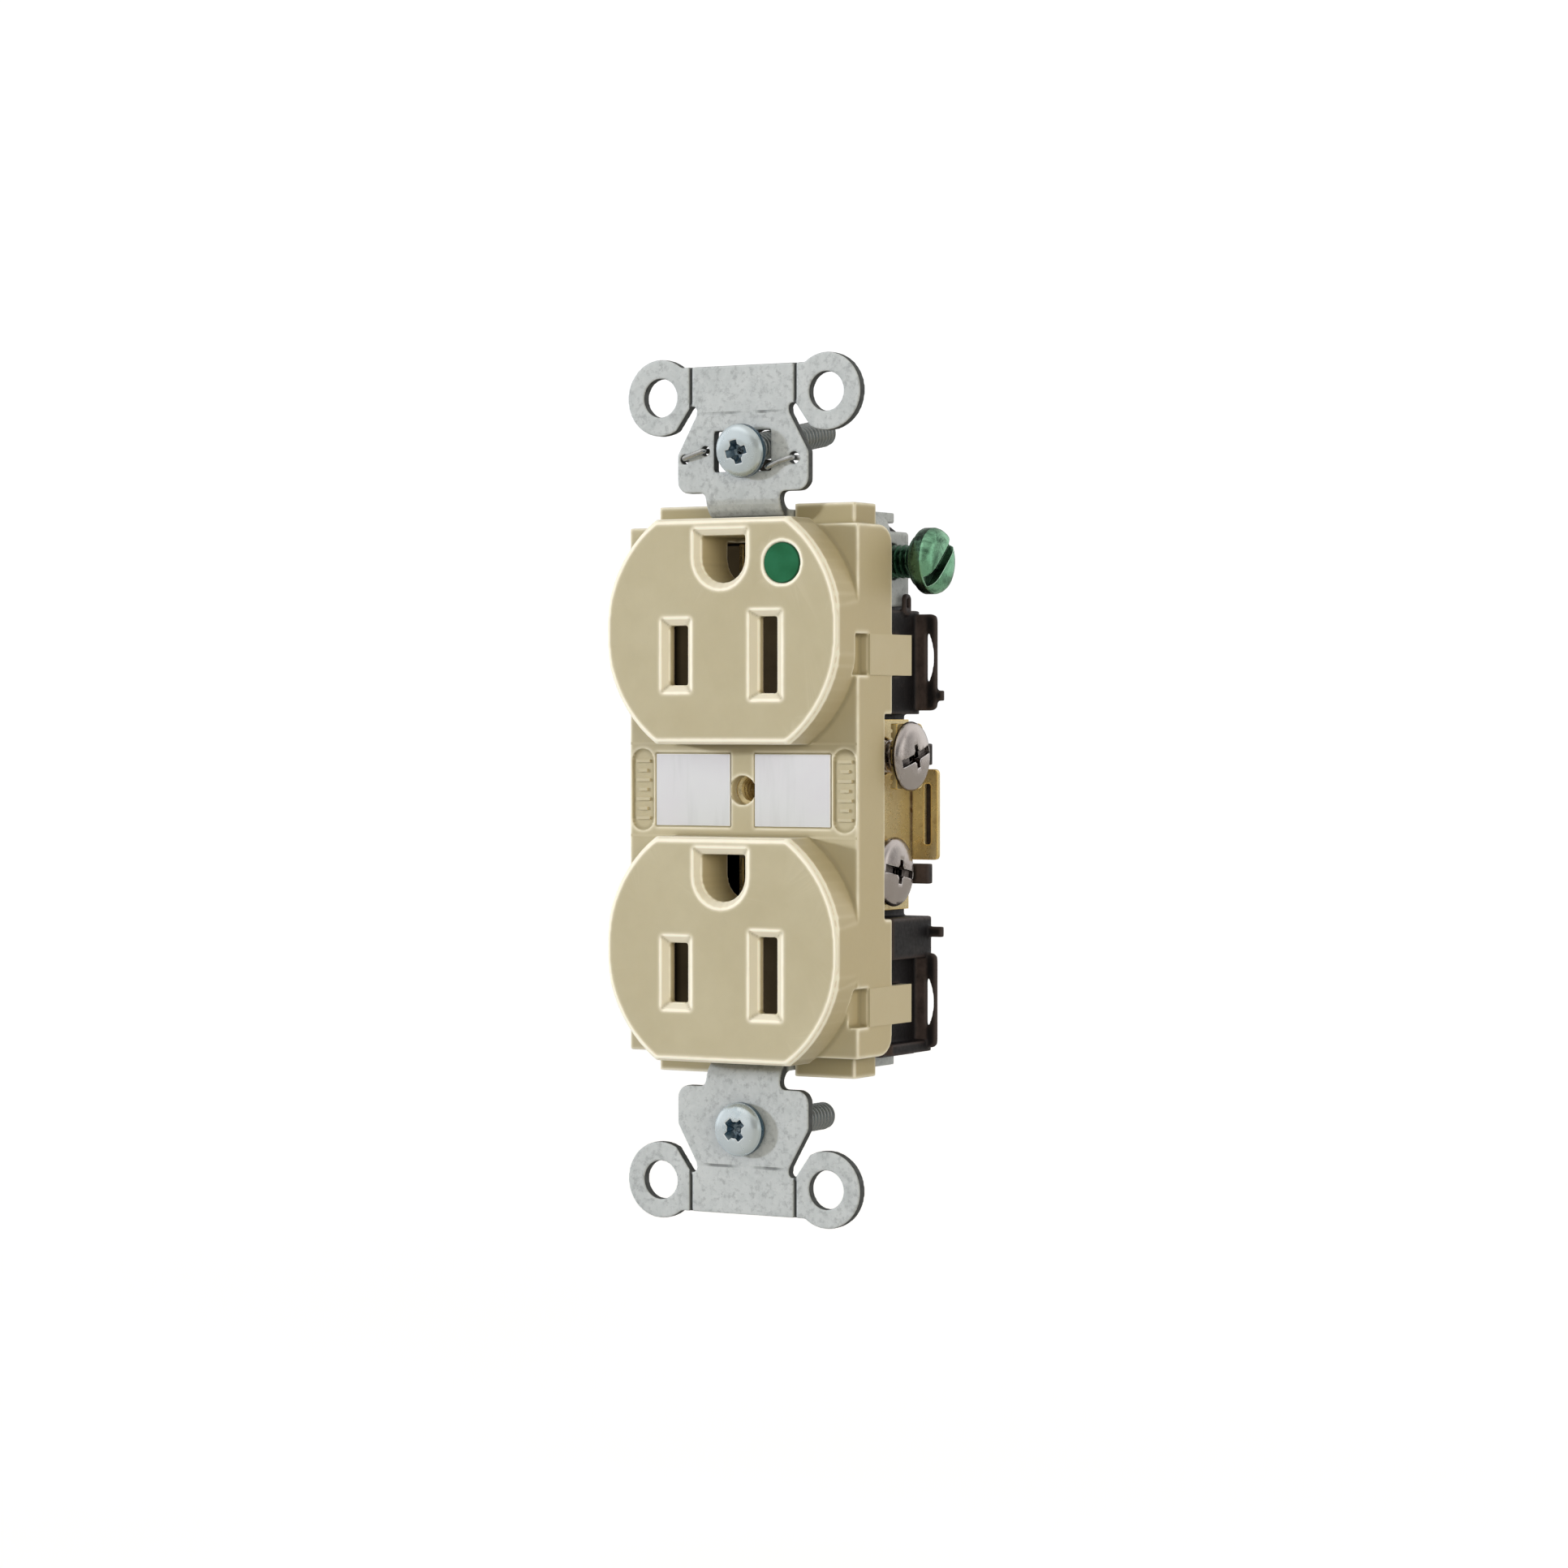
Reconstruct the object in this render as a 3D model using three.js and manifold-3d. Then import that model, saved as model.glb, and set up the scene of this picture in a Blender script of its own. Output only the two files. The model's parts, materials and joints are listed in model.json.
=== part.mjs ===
// Duplex wall outlet: two grounded 15 A plug positions on one wrap-round strap.
// Millimetres. X to the right, +Z up, the faces look towards -Y.
// The origin is the middle of the upper end plate's rear face, between the ears,
// which seats on the wall (the plane Y = 0).
// Pieces are modelled with heights (z) counted from the middle of the device and depths
// counted backwards from the strap's front plane, which the ivory housing's shoulder shares.
import * as THREE from "three";
import { mergeVertices } from "three/addons/utils/BufferGeometryUtils.js";
import { ConvexGeometry } from "three/addons/geometries/ConvexGeometry.js";
import Module from "manifold-3d";

const wasm = await Module();
wasm.setup();

// ---------- driving dimensions ----------
// names in _X and _Z are distances from the middle; names in _DEPTH, _FRONT, _BACK are depths
const SEAT_Z = 50; // seating datum above the middle of the device
const MOUNT_Z = 83.3 / 2; // from the mounting screw spacing
const FACE_Z = 38.9 / 2; // from the spacing of the two faces
const BLADE_X = 12.7 / 2; // from the blade spacing
const BLADE_RISE = -2.92; // blade centres from the face centre
const GROUND_RISE = BLADE_RISE + 11.9; // ground pin centre from the face centre
const FACE_ZS = [FACE_Z, -FACE_Z];
const BLADE_ZS = FACE_ZS.map((z) => z + BLADE_RISE);
const GROUND_ZS = FACE_ZS.map((z) => z + GROUND_RISE);

const STRAP_THICK = 1.3;
const WRAP_Z = 33.2; // inner face of the strap's top and bottom walls
const SPINE_DEPTH = 19.2; // inner face of the strap's rear spine
const BEND_INNER = 1.5; // bend radii of the strap
const BEND_OUTER = BEND_INNER + STRAP_THICK;

const TERMINAL_BOTTOM = -15.8; // open terminal zone at each side
const TERMINAL_TOP = 9.35;
const LATCHES = [{ z: 16.6, half: 2.5 }, { z: -26.35, half: 2.35 }]; // half = half height
const BASE_BACK = 19;
const FLOOR_DEPTH = 17.6; // inside face of the base's floor
const RIVET_HOLE_RADIUS = 1.65;

const PLATE_X = 13.7; // terminal plate outer face
const PLATE_THICK = 0.8;
const CONTACT_THICK = 0.6; // sheet of the blade jaws and ground contacts
const CLAMP_THICK = 0.88;
const SCREW_DEPTH = 11.4; // terminal screw axes
const UPPER_SCREW_Z = 4.15;
const LOWER_SCREW_Z = -10.1;
const SCREW_ZS = [UPPER_SCREW_Z, LOWER_SCREW_Z];
const UPPER_SCREW_OUT = 2.3; // the upper terminal screws stand backed out by this much
const SCREW_RADIUS = 2.08; // 8-32 thread
const SCREW_HOLE_RADIUS = 2.28;
const GROUND_SCREW = { depth: 13, z: 28.2, headX: 21.2, headThick: 2.8, headRadius: 4.1, tipX: 12.9 };

// ---------- helpers: solids ----------
const toY = (depth) => depth - STRAP_THICK;
const toVector2 = ([u, v]) => new THREE.Vector2(u, v);
const basis = (...axes) =>
  new THREE.Matrix4().makeBasis(...axes.map((axis) => new THREE.Vector3(...axis)));
const PUSH_ALONG_Y = basis([1, 0, 0], [0, 0, 1], [0, -1, 0]);
const PUSH_ALONG_X = basis([0, 1, 0], [0, 0, 1], [1, 0, 0]);

// closed manifold from a three.js geometry, turned right side out if needed
const solid = (geometry) => {
  const flat = geometry.index ? geometry.toNonIndexed() : geometry;
  const bare = new THREE.BufferGeometry().setAttribute("position", flat.getAttribute("position"));
  const merged = mergeVertices(bare, 1e-4);
  const vertProperties = new Float32Array(merged.attributes.position.array);
  const triVerts = new Uint32Array(merged.index.array);
  const build = () => new wasm.Manifold(new wasm.Mesh({ numProp: 3, vertProperties, triVerts }));
  const shape = build();
  if (shape.volume() > 0) return shape;
  for (let i = 0; i < triVerts.length; i += 3) {
    [triVerts[i], triVerts[i + 1]] = [triVerts[i + 1], triVerts[i]];
  }
  return build();
};
const sum = (solids) => solids.reduce((a, b) => a.add(b));
const mirrorX = (shape) => shape.mirror([1, 0, 0]);
const mirrorZ = (shape) => shape.mirror([0, 0, 1]);
const bothSides = (shape) => shape.add(mirrorX(shape));
const bothEnds = (shape) => shape.add(mirrorZ(shape));

const box = (left, right, front, back, bottom, top) =>
  solid(new THREE.BoxGeometry(right - left, back - front, top - bottom)
    .translate((left + right) / 2, toY((front + back) / 2), (bottom + top) / 2));
const extrude = (outline, holes, length) => {
  const shape = new THREE.Shape(outline.map(toVector2));
  shape.holes = holes.map((hole) => new THREE.Path(hole.map(toVector2)));
  return new THREE.ExtrudeGeometry(shape, { depth: length, bevelEnabled: false });
};
// outline in x, z pushed through a depth range
const slab = (outline, front, back, holes = []) =>
  solid(extrude(outline, holes, back - front)
    .applyMatrix4(PUSH_ALONG_Y)
    .translate(0, toY(back), 0));
// outline in depth, z pushed through an x range
const rail = (outline, left, right, holes = []) => {
  const place = (points) => points.map(([depth, z]) => [toY(depth), z]);
  return solid(extrude(place(outline), holes.map(place), right - left)
    .applyMatrix4(PUSH_ALONG_X)
    .translate(left, 0, 0));
};
const cylinderX = (left, right, depth, z, radius) =>
  solid(new THREE.CylinderGeometry(radius, radius, right - left, 24)
    .rotateZ(-Math.PI / 2)
    .translate((left + right) / 2, toY(depth), z));
const cylinderY = (x, front, back, z, radius, segments) =>
  solid(new THREE.CylinderGeometry(radius, radius, back - front, segments)
    .translate(x, toY((front + back) / 2), z));
// profile of [radius, distance along the axis]; the axis runs along +X from x, or along +Y
const lathe = (profile, segments) => new THREE.LatheGeometry(profile.map(toVector2), segments);
const turnedX = (profile, x, depth, z, segments) =>
  solid(lathe(profile, segments).rotateZ(-Math.PI / 2).translate(x, toY(depth), z));
const turnedY = (profile, z, segments) =>
  solid(lathe(profile, segments).translate(0, toY(0), z));
// convex taper between two x, z outlines at two depths
const funnel = (frontOutline, front, backOutline, back) =>
  solid(new ConvexGeometry([
    ...frontOutline.map(([x, z]) => new THREE.Vector3(x, toY(front), z)),
    ...backOutline.map(([x, z]) => new THREE.Vector3(x, toY(back), z)),
  ]));

// ---------- helpers: outlines ----------
// angles in degrees
const arc = (x, z, radius, from, to, steps) => {
  const points = [];
  for (let i = 0; i <= steps; i++) {
    const angle = ((from + ((to - from) * i) / steps) * Math.PI) / 180;
    points.push([x + radius * Math.cos(angle), z + radius * Math.sin(angle)]);
  }
  return points;
};
const ring = (x, z, radius, count) => arc(x, z, radius, 0, 360 - 360 / count, count - 1);
const rect = (x, z, width, height) => [
  [x - width / 2, z - height / 2], [x + width / 2, z - height / 2],
  [x + width / 2, z + height / 2], [x - width / 2, z + height / 2],
];
const roundedRect = (left, right, bottom, top, radius, steps) => [
  ...arc(right - radius, bottom + radius, radius, -90, 0, steps),
  ...arc(right - radius, top - radius, radius, 0, 90, steps),
  ...arc(left + radius, top - radius, radius, 90, 180, steps),
  ...arc(left + radius, bottom + radius, radius, 180, 270, steps),
];

// ---------- ivory housing: shoulder, two faces, lips, latch fingers ----------
const HOUSING_X = 16.3;
const HOUSING_Z = 32.5;
const HOUSING_BACK = 8.67;
const HOUSING_TERMINAL_BACK = 6.85; // rear edge inside the terminal zone
const HOUSING_WALL = 1.9;
const HOUSING_SKIN = 1.8; // front wall
const CORNER = { depth: 3, height: 2.25 }; // elliptical rear corners
const FACE_FRONT = -5.3; // the faces stand in front of the shoulder
const FACE_RADIUS = 16.7;
const FACE_FLAT = 13.8; // half height of a face between its flats
const FACE_SKIN = 2;
const BEVEL = { inset: 0.4, depth: 0.45 }; // round the front edge of a face
const MOUTH_FRONT = FACE_FRONT - 0.1; // tapered mouths of the plug openings
const MOUTH_BACK = FACE_FRONT + 0.75;
const SLOT_BACK = 4;
const BLADE_SLOTS = [
  { x: -BLADE_X, width: 2.6, height: 7.3, mouthWidth: 4.5, mouthHeight: 9.3 },
  { x: BLADE_X, width: 2.5, height: 9.3, mouthWidth: 5, mouthHeight: 11.1 },
];
const DOT = { x: 8.67, z: 27.63, radius: 2.47, recessRadius: 2.56, segments: 40 };
const LABEL_X = 7.085; // middle of each label plate

// circle cut by two level flats
const faceOutline = (faceZ, radius, flat) => {
  const angle = (Math.asin(flat / radius) * 180) / Math.PI;
  return [
    ...arc(0, faceZ, radius, -angle, angle, 22),
    ...arc(0, faceZ, radius, 180 - angle, 180 + angle, 22),
  ];
};
// half round below, square above
const groundOutline = (z, width, rise) => [
  ...arc(0, z, width / 2, 180, 360, 12),
  [width / 2, z + rise], [-width / 2, z + rise],
];

const housingBlock = () => {
  const corner = (z, from) =>
    arc(0, 0, 1, from, from + 90, 5)
      .map(([u, v]) => [HOUSING_BACK - CORNER.depth * (1 - u), z + CORNER.height * v]);
  return rail([
    [0, -HOUSING_Z],
    ...corner(-HOUSING_Z + CORNER.height, -90),
    [HOUSING_BACK, TERMINAL_BOTTOM], [HOUSING_TERMINAL_BACK, TERMINAL_BOTTOM],
    [HOUSING_TERMINAL_BACK, TERMINAL_TOP], [HOUSING_BACK, TERMINAL_TOP],
    ...corner(HOUSING_Z - CORNER.height, 0),
    [0, HOUSING_Z],
  ], -HOUSING_X, HOUSING_X);
};

const faceBlock = (faceZ) => {
  const full = faceOutline(faceZ, FACE_RADIUS, FACE_FLAT);
  const inset = faceOutline(faceZ, FACE_RADIUS - BEVEL.inset, FACE_FLAT - BEVEL.inset);
  const bevelBack = FACE_FRONT + BEVEL.depth;
  return slab(full, bevelBack, 0.3).add(funnel(inset, FACE_FRONT, full, bevelBack));
};

// pocket behind a face, less a guide block left round the ground opening
const facePocket = (faceZ) => {
  const outline = faceOutline(faceZ, FACE_RADIUS - 2.4, FACE_FLAT - 2.2);
  const groundZ = faceZ + GROUND_RISE;
  return slab(outline, FACE_FRONT + FACE_SKIN, HOUSING_SKIN + 0.1)
    .subtract(box(-4.4, 4.4, -6, 3, groundZ - 4.5, groundZ + 6));
};

const plugOpenings = (faceZ) => {
  const bladeZ = faceZ + BLADE_RISE;
  const blades = BLADE_SLOTS.map(({ x, width, height, mouthWidth, mouthHeight }) => {
    const slot = rect(x, bladeZ, width, height);
    const mouth = rect(x, bladeZ, mouthWidth, mouthHeight);
    return funnel(mouth, MOUTH_FRONT, slot, MOUTH_BACK).add(slab(slot, FACE_FRONT, SLOT_BACK));
  });
  const hole = groundOutline(faceZ + GROUND_RISE, 6.2, 2.7);
  const mouth = groundOutline(faceZ + GROUND_RISE, 8, 3.65);
  return sum([
    ...blades,
    funnel(mouth, MOUTH_FRONT, hole, MOUTH_BACK),
    slab(hole, FACE_FRONT, SLOT_BACK),
  ]);
};

// round recess for the dot, label recesses, obround end recesses, middle hole
const frontRecesses = () => sum([
  cylinderY(DOT.x, FACE_FRONT - 0.5, FACE_FRONT + 0.38, DOT.z, DOT.recessRadius, DOT.segments),
  bothSides(slab(rect(LABEL_X, 0, 10.97, 9.2), -0.5, 0.34)),
  bothSides(slab(roundedRect(12.8, 16, -5.1, 5.1, 1.55, 5), -0.5, 0.3)),
  cylinderY(0, -1, 4, 0, 1.8, 32),
]);

const housing = () => {
  const innerX = HOUSING_X - HOUSING_WALL;
  const innerZ = HOUSING_Z - HOUSING_WALL;
  const lip = box(5.5, 14, 3.3, HOUSING_BACK, 29, 35.2);
  let body = sum([housingBlock(), bothEnds(bothSides(lip)), ...FACE_ZS.map(faceBlock)])
    .subtract(box(-innerX, innerX, HOUSING_SKIN, 20, -innerZ, innerZ))
    .subtract(sum(FACE_ZS.map(facePocket)))
    .subtract(sum(FACE_ZS.map(plugOpenings)))
    .subtract(frontRecesses());
  // at each latch: a notch in front, and behind it a finger whose barb hooks the base
  const notchBack = 2.7;
  for (const { z, half } of LATCHES) {
    const notch = box(14.9, 17, -0.5, notchBack, z - half, z + half);
    const finger = box(14.9, HOUSING_X + 0.05, notchBack, 13.3, z - half, z + half);
    const barb = box(13.95, 15, 11.6, 12.9, z - half + 0.6, z + half - 0.6);
    body = body.subtract(bothSides(notch)).add(bothSides(finger.add(barb)));
  }
  return body;
};

const dot = () =>
  cylinderY(DOT.x, FACE_FRONT - 0.03, FACE_FRONT + 0.35, DOT.z, DOT.radius, DOT.segments);
const labelPlate = (x) => slab(rect(x, 0, 10.65, 8.88), 0.02, 0.31);

// ---------- strap: ears, neck, top and bottom walls, rear spine, ground tab ----------
const NECK_X = 5.3; // half widths of the neck, the walls and the spine
const WALL_X = 11.5;
const SPINE_X = 9;
const EAR = { x: 11.83, z: 48.56, radius: 4.75, holeRadius: 2.4 };
const TAB_X = 14; // outer face of the ground tab
const TAB_BOTTOM = 22.9;
const WIRE_ANCHORS = [{ x: -8.3, z: 40.85 }, { x: -5.35, z: 41.8 }]; // two small holes, left
const UPPER_HOLES = [
  rect(0, MOUNT_Z, 8.1, 5),
  ...WIRE_ANCHORS.map(({ x, z }) => ring(x, z, 0.62, 12)),
  ring(7.3, 40.62, 0.75, 14),
];
const LOWER_HOLES = [[ // obround; z is mirrored with the whole lower end
  ...arc(1.1, MOUNT_Z, 2.05, -90, 90, 8),
  ...arc(-1.1, MOUNT_Z, 2.05, 90, 270, 8),
]];

// upper end plate with its two ears and the score line across each
const strapEnd = (middleHoles) => {
  const half = [
    [NECK_X, 35.6], [NECK_X, 35.9], ...arc(NECK_X + 0.7, 35.9, 0.7, 180, 90, 3).slice(1),
    [7.5, 36.6], ...arc(7.75, 38.2, 1.6, -90, 0, 5), [9.35, 41.35],
    [6.62, 46.2], ...arc(7.15, 46.75, 0.6, 205, 50, 5), [9.55, 44.4],
    ...arc(EAR.x, EAR.z, EAR.radius, -118.7, 129.96, 24),
  ];
  const outline = [...half, ...half.map(([x, z]) => [-x, z]).reverse()];
  const earHoles = [EAR.x, -EAR.x].map((x) => ring(x, EAR.z, EAR.holeRadius, 28));
  return slab(outline, 0, STRAP_THICK, [...earHoles, ...middleHoles])
    .subtract(bothSides(box(7.25, 7.65, -0.5, 0.35, 47.5, 54)));
};

const BEND_Z = WRAP_Z - BEND_INNER; // centre of the rear bends and of the tab's bend

// the wrapped strip, seen from the side, narrowed at the neck and the spine
const strapWrap = () => {
  const neckZ = WRAP_Z + BEND_OUTER;
  const rearDepth = SPINE_DEPTH - BEND_INNER;
  const innerLine = [
    [0, neckZ + 0.2],
    ...arc(BEND_OUTER, neckZ, BEND_OUTER, 180, 270, 5),
    ...arc(rearDepth, BEND_Z, BEND_INNER, 90, 0, 5),
  ];
  const outerLine = [
    [STRAP_THICK, neckZ + 0.2],
    ...arc(BEND_OUTER, neckZ, BEND_INNER, 180, 270, 5),
    ...arc(rearDepth, BEND_Z, BEND_OUTER, 90, 0, 5),
  ];
  const below = (points) => points.map(([depth, z]) => [depth, -z]);
  const outline = [
    ...innerLine, ...below(innerLine).reverse(),
    ...below(outerLine), ...outerLine.reverse(),
  ];
  return rail(outline, -WALL_X, WALL_X)
    .subtract(bothSides(box(NECK_X, 20, -1, 9, -60, 60)))
    .subtract(bothSides(box(SPINE_X, 20, 17.9, 30, -60, 60)));
};

// ground tab: the bend is narrow; the flat of the tab behind it runs deeper
const groundTab = () => {
  const innerX = TAB_X - STRAP_THICK;
  const bendX = TAB_X - BEND_OUTER;
  const rootX = 10.6;
  const edge = 0.3;
  const foot = [[innerX, TAB_BOTTOM], ...arc(TAB_X - edge, TAB_BOTTOM, edge, -90, 0, 2)];
  const bend = slab([
    ...arc(bendX, BEND_Z, BEND_INNER, 90, 0, 5),
    ...foot,
    ...arc(bendX, BEND_Z, BEND_OUTER, 0, 90, 5),
    [rootX, WRAP_Z + STRAP_THICK], [rootX, WRAP_Z],
  ], 9.3, 12.4);
  const flat = slab(
    [...foot, ...arc(TAB_X - edge, 31.7, edge, 0, 90, 2), [innerX, 32]], 12.3, 17.07);
  return bend.add(flat);
};

const strap = () => {
  const spineHoles = [
    ...GROUND_ZS.map((z) => cylinderY(0, 18, 22, z, RIVET_HOLE_RADIUS, 24)),
    cylinderY(0, 18, 22, 0, 2.05, 24),
  ];
  return strapWrap()
    .add(groundTab())
    .subtract(cylinderX(11, 15, GROUND_SCREW.depth, GROUND_SCREW.z, SCREW_HOLE_RADIUS))
    .add(strapEnd(UPPER_HOLES))
    .add(mirrorZ(strapEnd(LOWER_HOLES)))
    .subtract(sum(spineHoles));
};

// ---------- black base: tray with contact pockets, side blocks, catch flanges, lugs ----------
const BASE_X = 14.5;
const BASE_Z = 33;
const BASE_FRONT = 8.95;
const BASE_CHAMFER = 1.35;
const FLANGE_X = 17.5; // outer edge of the catch flanges
const FLANGE_CORNER = 0.8;
const FLANGES = [
  { bottom: 9.8, top: 21.8, windowBottom: 12.8, windowTop: 20 },
  { bottom: -32.2, top: -20.4, windowBottom: -30, windowTop: -23 },
];

const baseBlock = () => {
  const chamferDepth = BASE_BACK - BASE_CHAMFER;
  const chamferZ = BASE_Z - BASE_CHAMFER;
  return rail([
    [BASE_FRONT, -BASE_Z], [chamferDepth, -BASE_Z], [BASE_BACK, -chamferZ],
    [BASE_BACK, chamferZ], [chamferDepth, BASE_Z], [BASE_FRONT, BASE_Z],
  ], -BASE_X, BASE_X).add(box(-14.1, 14.1, 6.2, 10, -30.3, 30.3));
};

// right-hand side blocks
const baseBlocks = () => sum([
  box(14.2, 16.25, BASE_FRONT, BASE_BACK, -20.9, TERMINAL_BOTTOM),
  box(14.2, 16.15, BASE_FRONT, BASE_BACK, -32.7, -31.3),
]);

// right-hand cuts
const baseCuts = () => sum([
  box(12.4, 20, 5, 22, TERMINAL_BOTTOM, TERMINAL_TOP), // terminal zone
  box(4.2, 11.2, 5, FLOOR_DEPTH, -26.6, 20.7), // pocket for the blade jaws
  box(11.1, 15, 5, 8.4, TERMINAL_BOTTOM, TERMINAL_TOP), // low wall under the terminal web
  ...LATCHES.flatMap(({ z, half }) => [
    box(13.65, 14.85, 11.2, 13.6, z - half, z + half),
    box(14.5, 17, 8, 13.6, z - half - 0.2, z + half + 0.2),
  ]),
  ...SCREW_ZS.map((z) => cylinderX(10, 15, SCREW_DEPTH, z, 2.5)), // clearance for the shanks
]);

// right-hand lugs
const baseLugs = () => sum([
  box(12, 16.4, 17.8, BASE_BACK, 3, 5.7), // behind the terminal screws
  box(12, 16.4, 17.8, BASE_BACK, -11.8, -9.3),
  box(14.2, 18.25, 17.8, 18.6, -18.4, -17.1),
  box(9.3, 12.35, 18.5, 20.1, -8.4, 2.1), // wing behind the break-off fin
  box(12, 16.3, 19.15, 20.1, -8.4, 2.1),
]);

// D shape bulging outwards by sag from a flat at flatX
const windowOutline = (flatX, sag, bottom, top) => {
  const half = (top - bottom) / 2;
  const radius = (half * half + sag * sag) / (2 * sag);
  const angle = (Math.asin(half / radius) * 180) / Math.PI;
  return arc(flatX + sag - radius, (bottom + top) / 2, radius, -angle, angle, 12);
};
const catchFlange = ({ bottom, top, windowBottom, windowTop }) => {
  const cornerX = FLANGE_X - FLANGE_CORNER;
  return slab([
    [14.2, bottom],
    ...arc(cornerX, bottom + FLANGE_CORNER, FLANGE_CORNER, -90, 0, 3),
    ...arc(cornerX, top - FLANGE_CORNER, FLANGE_CORNER, 0, 90, 3),
    [14.2, top],
  ], 17.7, 18.45, [windowOutline(16.1, 1, windowBottom, windowTop)]);
};

// corner kept free for the ground tab, with a blind well for the ground screw's tip
const groundTabCorner = () => sum([
  box(12.35, 20, 5, 22, 22.25, 40),
  slab([[10.7, 33.1], [12.5, 31.1], [12.5, 33.1]], 5, 22),
  cylinderX(8.3, 13, GROUND_SCREW.depth, GROUND_SCREW.z, 2.6),
]);

// small rounded loop below the ground tab
const baseHook = () =>
  rail(roundedRect(14.4, 16.2, 21.6, 24.3, 0.7, 3), 14.3, 14.95,
    [roundedRect(14.95, 15.65, 22.5, 23.7, 0.3, 2)]);

const base = () => {
  const flanges = [...FLANGES.map(catchFlange), box(17.3, 18.4, 17.8, 18.35, 11, 12.3)];
  const groundPockets = GROUND_ZS.flatMap((z) => [
    box(-3.4, 3.4, 5, FLOOR_DEPTH, z - 2.8, z + 2.8),
    cylinderY(0, 16, 22, z, RIVET_HOLE_RADIUS, 24),
  ]);
  return baseBlock()
    .add(bothSides(baseBlocks()))
    .subtract(bothSides(baseCuts()))
    .add(bothSides(baseLugs()))
    .add(bothSides(sum(flanges)))
    .subtract(groundTabCorner())
    .add(baseHook())
    .subtract(sum(groundPockets))
    .subtract(cylinderY(0, 4, 22, 0, 2.7, 32)); // centre post bore
};

// ---------- copper alloy parts, rivets and wire ----------
// folded jaw that grips one blade, right-hand side
const bladeJaw = (z) => {
  const inner = BLADE_X - 1.5;
  const outer = BLADE_X + 1.5;
  const back = 15.15;
  const bottom = z - 3.2;
  const top = z + 3.2;
  return sum([
    box(outer - CONTACT_THICK, outer, 7.25, back, bottom, top),
    box(inner, inner + CONTACT_THICK, 5, back, bottom, top),
    box(inner, outer, back - CONTACT_THICK, back, bottom, top),
  ]);
};

// right-hand terminal stamping: side plate, break-off fin, web, two blade jaws
const terminalBus = () => {
  const innerX = PLATE_X - PLATE_THICK;
  const [bottom, top] = [-14.9, 8.7];
  const [front, back] = [7.25, 17.6];
  const [finBottom, finTop] = [-8.8, 2.5];
  const finBack = SPINE_DEPTH - 0.2;
  const stepBack = 18.15; // small step on the plate's rear edge, above and below the fin
  const step = 0.2;
  const plate = rail([
    [front, bottom], [back, bottom], [back, finBottom - step], [stepBack, finBottom - step],
    [stepBack, finBottom], [finBack, finBottom], [finBack, finTop], [stepBack, finTop],
    [stepBack, finTop + step], [back, finTop + step], [back, top], [front, top],
  ], innerX, PLATE_X);
  const fin = slab(roundedRect(innerX, 17.45, finBottom, finTop, 0.5, 3), 18.2, finBack,
    [roundedRect(15.55, 16.45, -6.9, 0.7, 0.35, 3)]);
  const webBack = front + PLATE_THICK;
  const [upperZ, lowerZ] = BLADE_ZS;
  const web = box(7.3, 11, front, webBack, lowerZ - 3.2, upperZ + 3.2)
    .add(box(10.5, PLATE_X, front, webBack, bottom, top));
  // bore for each shank, and the notch that lets a wire in from the front
  const openings = SCREW_ZS.flatMap((z) => [
    cylinderX(innerX - 1, PLATE_X + 1, SCREW_DEPTH, z, SCREW_HOLE_RADIUS),
    box(innerX - 1, PLATE_X + 1, 7, 9, z - 3.3, z + 3.3),
  ]);
  return sum([plate, fin, web, ...BLADE_ZS.map(bladeJaw)]).subtract(sum(openings));
};

// U of sheet, open to the front
const groundContact = (z) => {
  const outer = 3.15;
  const back = 17.45;
  const floor = box(-outer, outer, back - CONTACT_THICK, back, z - 2, z + 2);
  const leaf = box(outer - CONTACT_THICK, outer, 4.6, back, z - 2, z + 2);
  return floor.add(bothSides(leaf)).subtract(cylinderY(0, 16, 18, z, RIVET_HOLE_RADIUS, 24));
};

const groundRivet = (z) => turnedY([
  [0, 16.2], [1.8, 16.2], [2.05, 16.45], [2.05, 16.75], [1.48, 16.75],
  [1.48, 20.6], [2.6, 20.6], [2.45, 21], [1.6, 21.25], [0, 21.25],
], z, 18);

const centerPost = () => turnedY([
  [1.4, 2], [2.5, 2], [2.5, 19.05], [1.9, 19.05], [1.9, 20.6],
  [2.6, 20.6], [2.4, 21.1], [1.4, 21.1], [1.4, 2],
], 0, 22);

// wire centre line: x, depth, z
const WIRE_PATH = [
  [-8.3, 2.3, 40.85], [-8.3, 0.6, 40.85], [-8.05, -0.35, 40.95], [-7.2, -0.5, 41.22],
  [-6.2, -0.5, 41.52], [-5.55, -0.3, 41.74], [-5.35, 0.6, 41.8], [-5.35, 1.7, 41.75],
  [-5.3, 2, 40.9], [-5, 2, 39.3], [-4, 2, 38.55], [-1, 2, 38.4],
  [2, 2, 38.45], [3, 2, 38.7], [3.35, 1.8, 39.3], [3.62, 1.2, 39.54],
  [3.68, 0.1, 39.52], [3.72, -0.25, 39.55], [4.1, -0.52, 39.66], [5.2, -0.5, 40.08],
  [6.6, -0.5, 40.45], [7.2, -0.3, 40.6], [7.3, 0.5, 40.62], [7.3, 2.3, 40.62],
];
const groundWire = () => {
  const points = WIRE_PATH.map(([x, depth, z]) => new THREE.Vector3(x, toY(depth), z));
  const extrudePath = new THREE.CatmullRomCurve3(points, false, "centripetal");
  const section = new THREE.Shape(ring(0, 0, 0.33, 6).map(toVector2));
  return solid(new THREE.ExtrudeGeometry(section, { steps: 60, bevelEnabled: false, extrudePath }));
};

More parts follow.
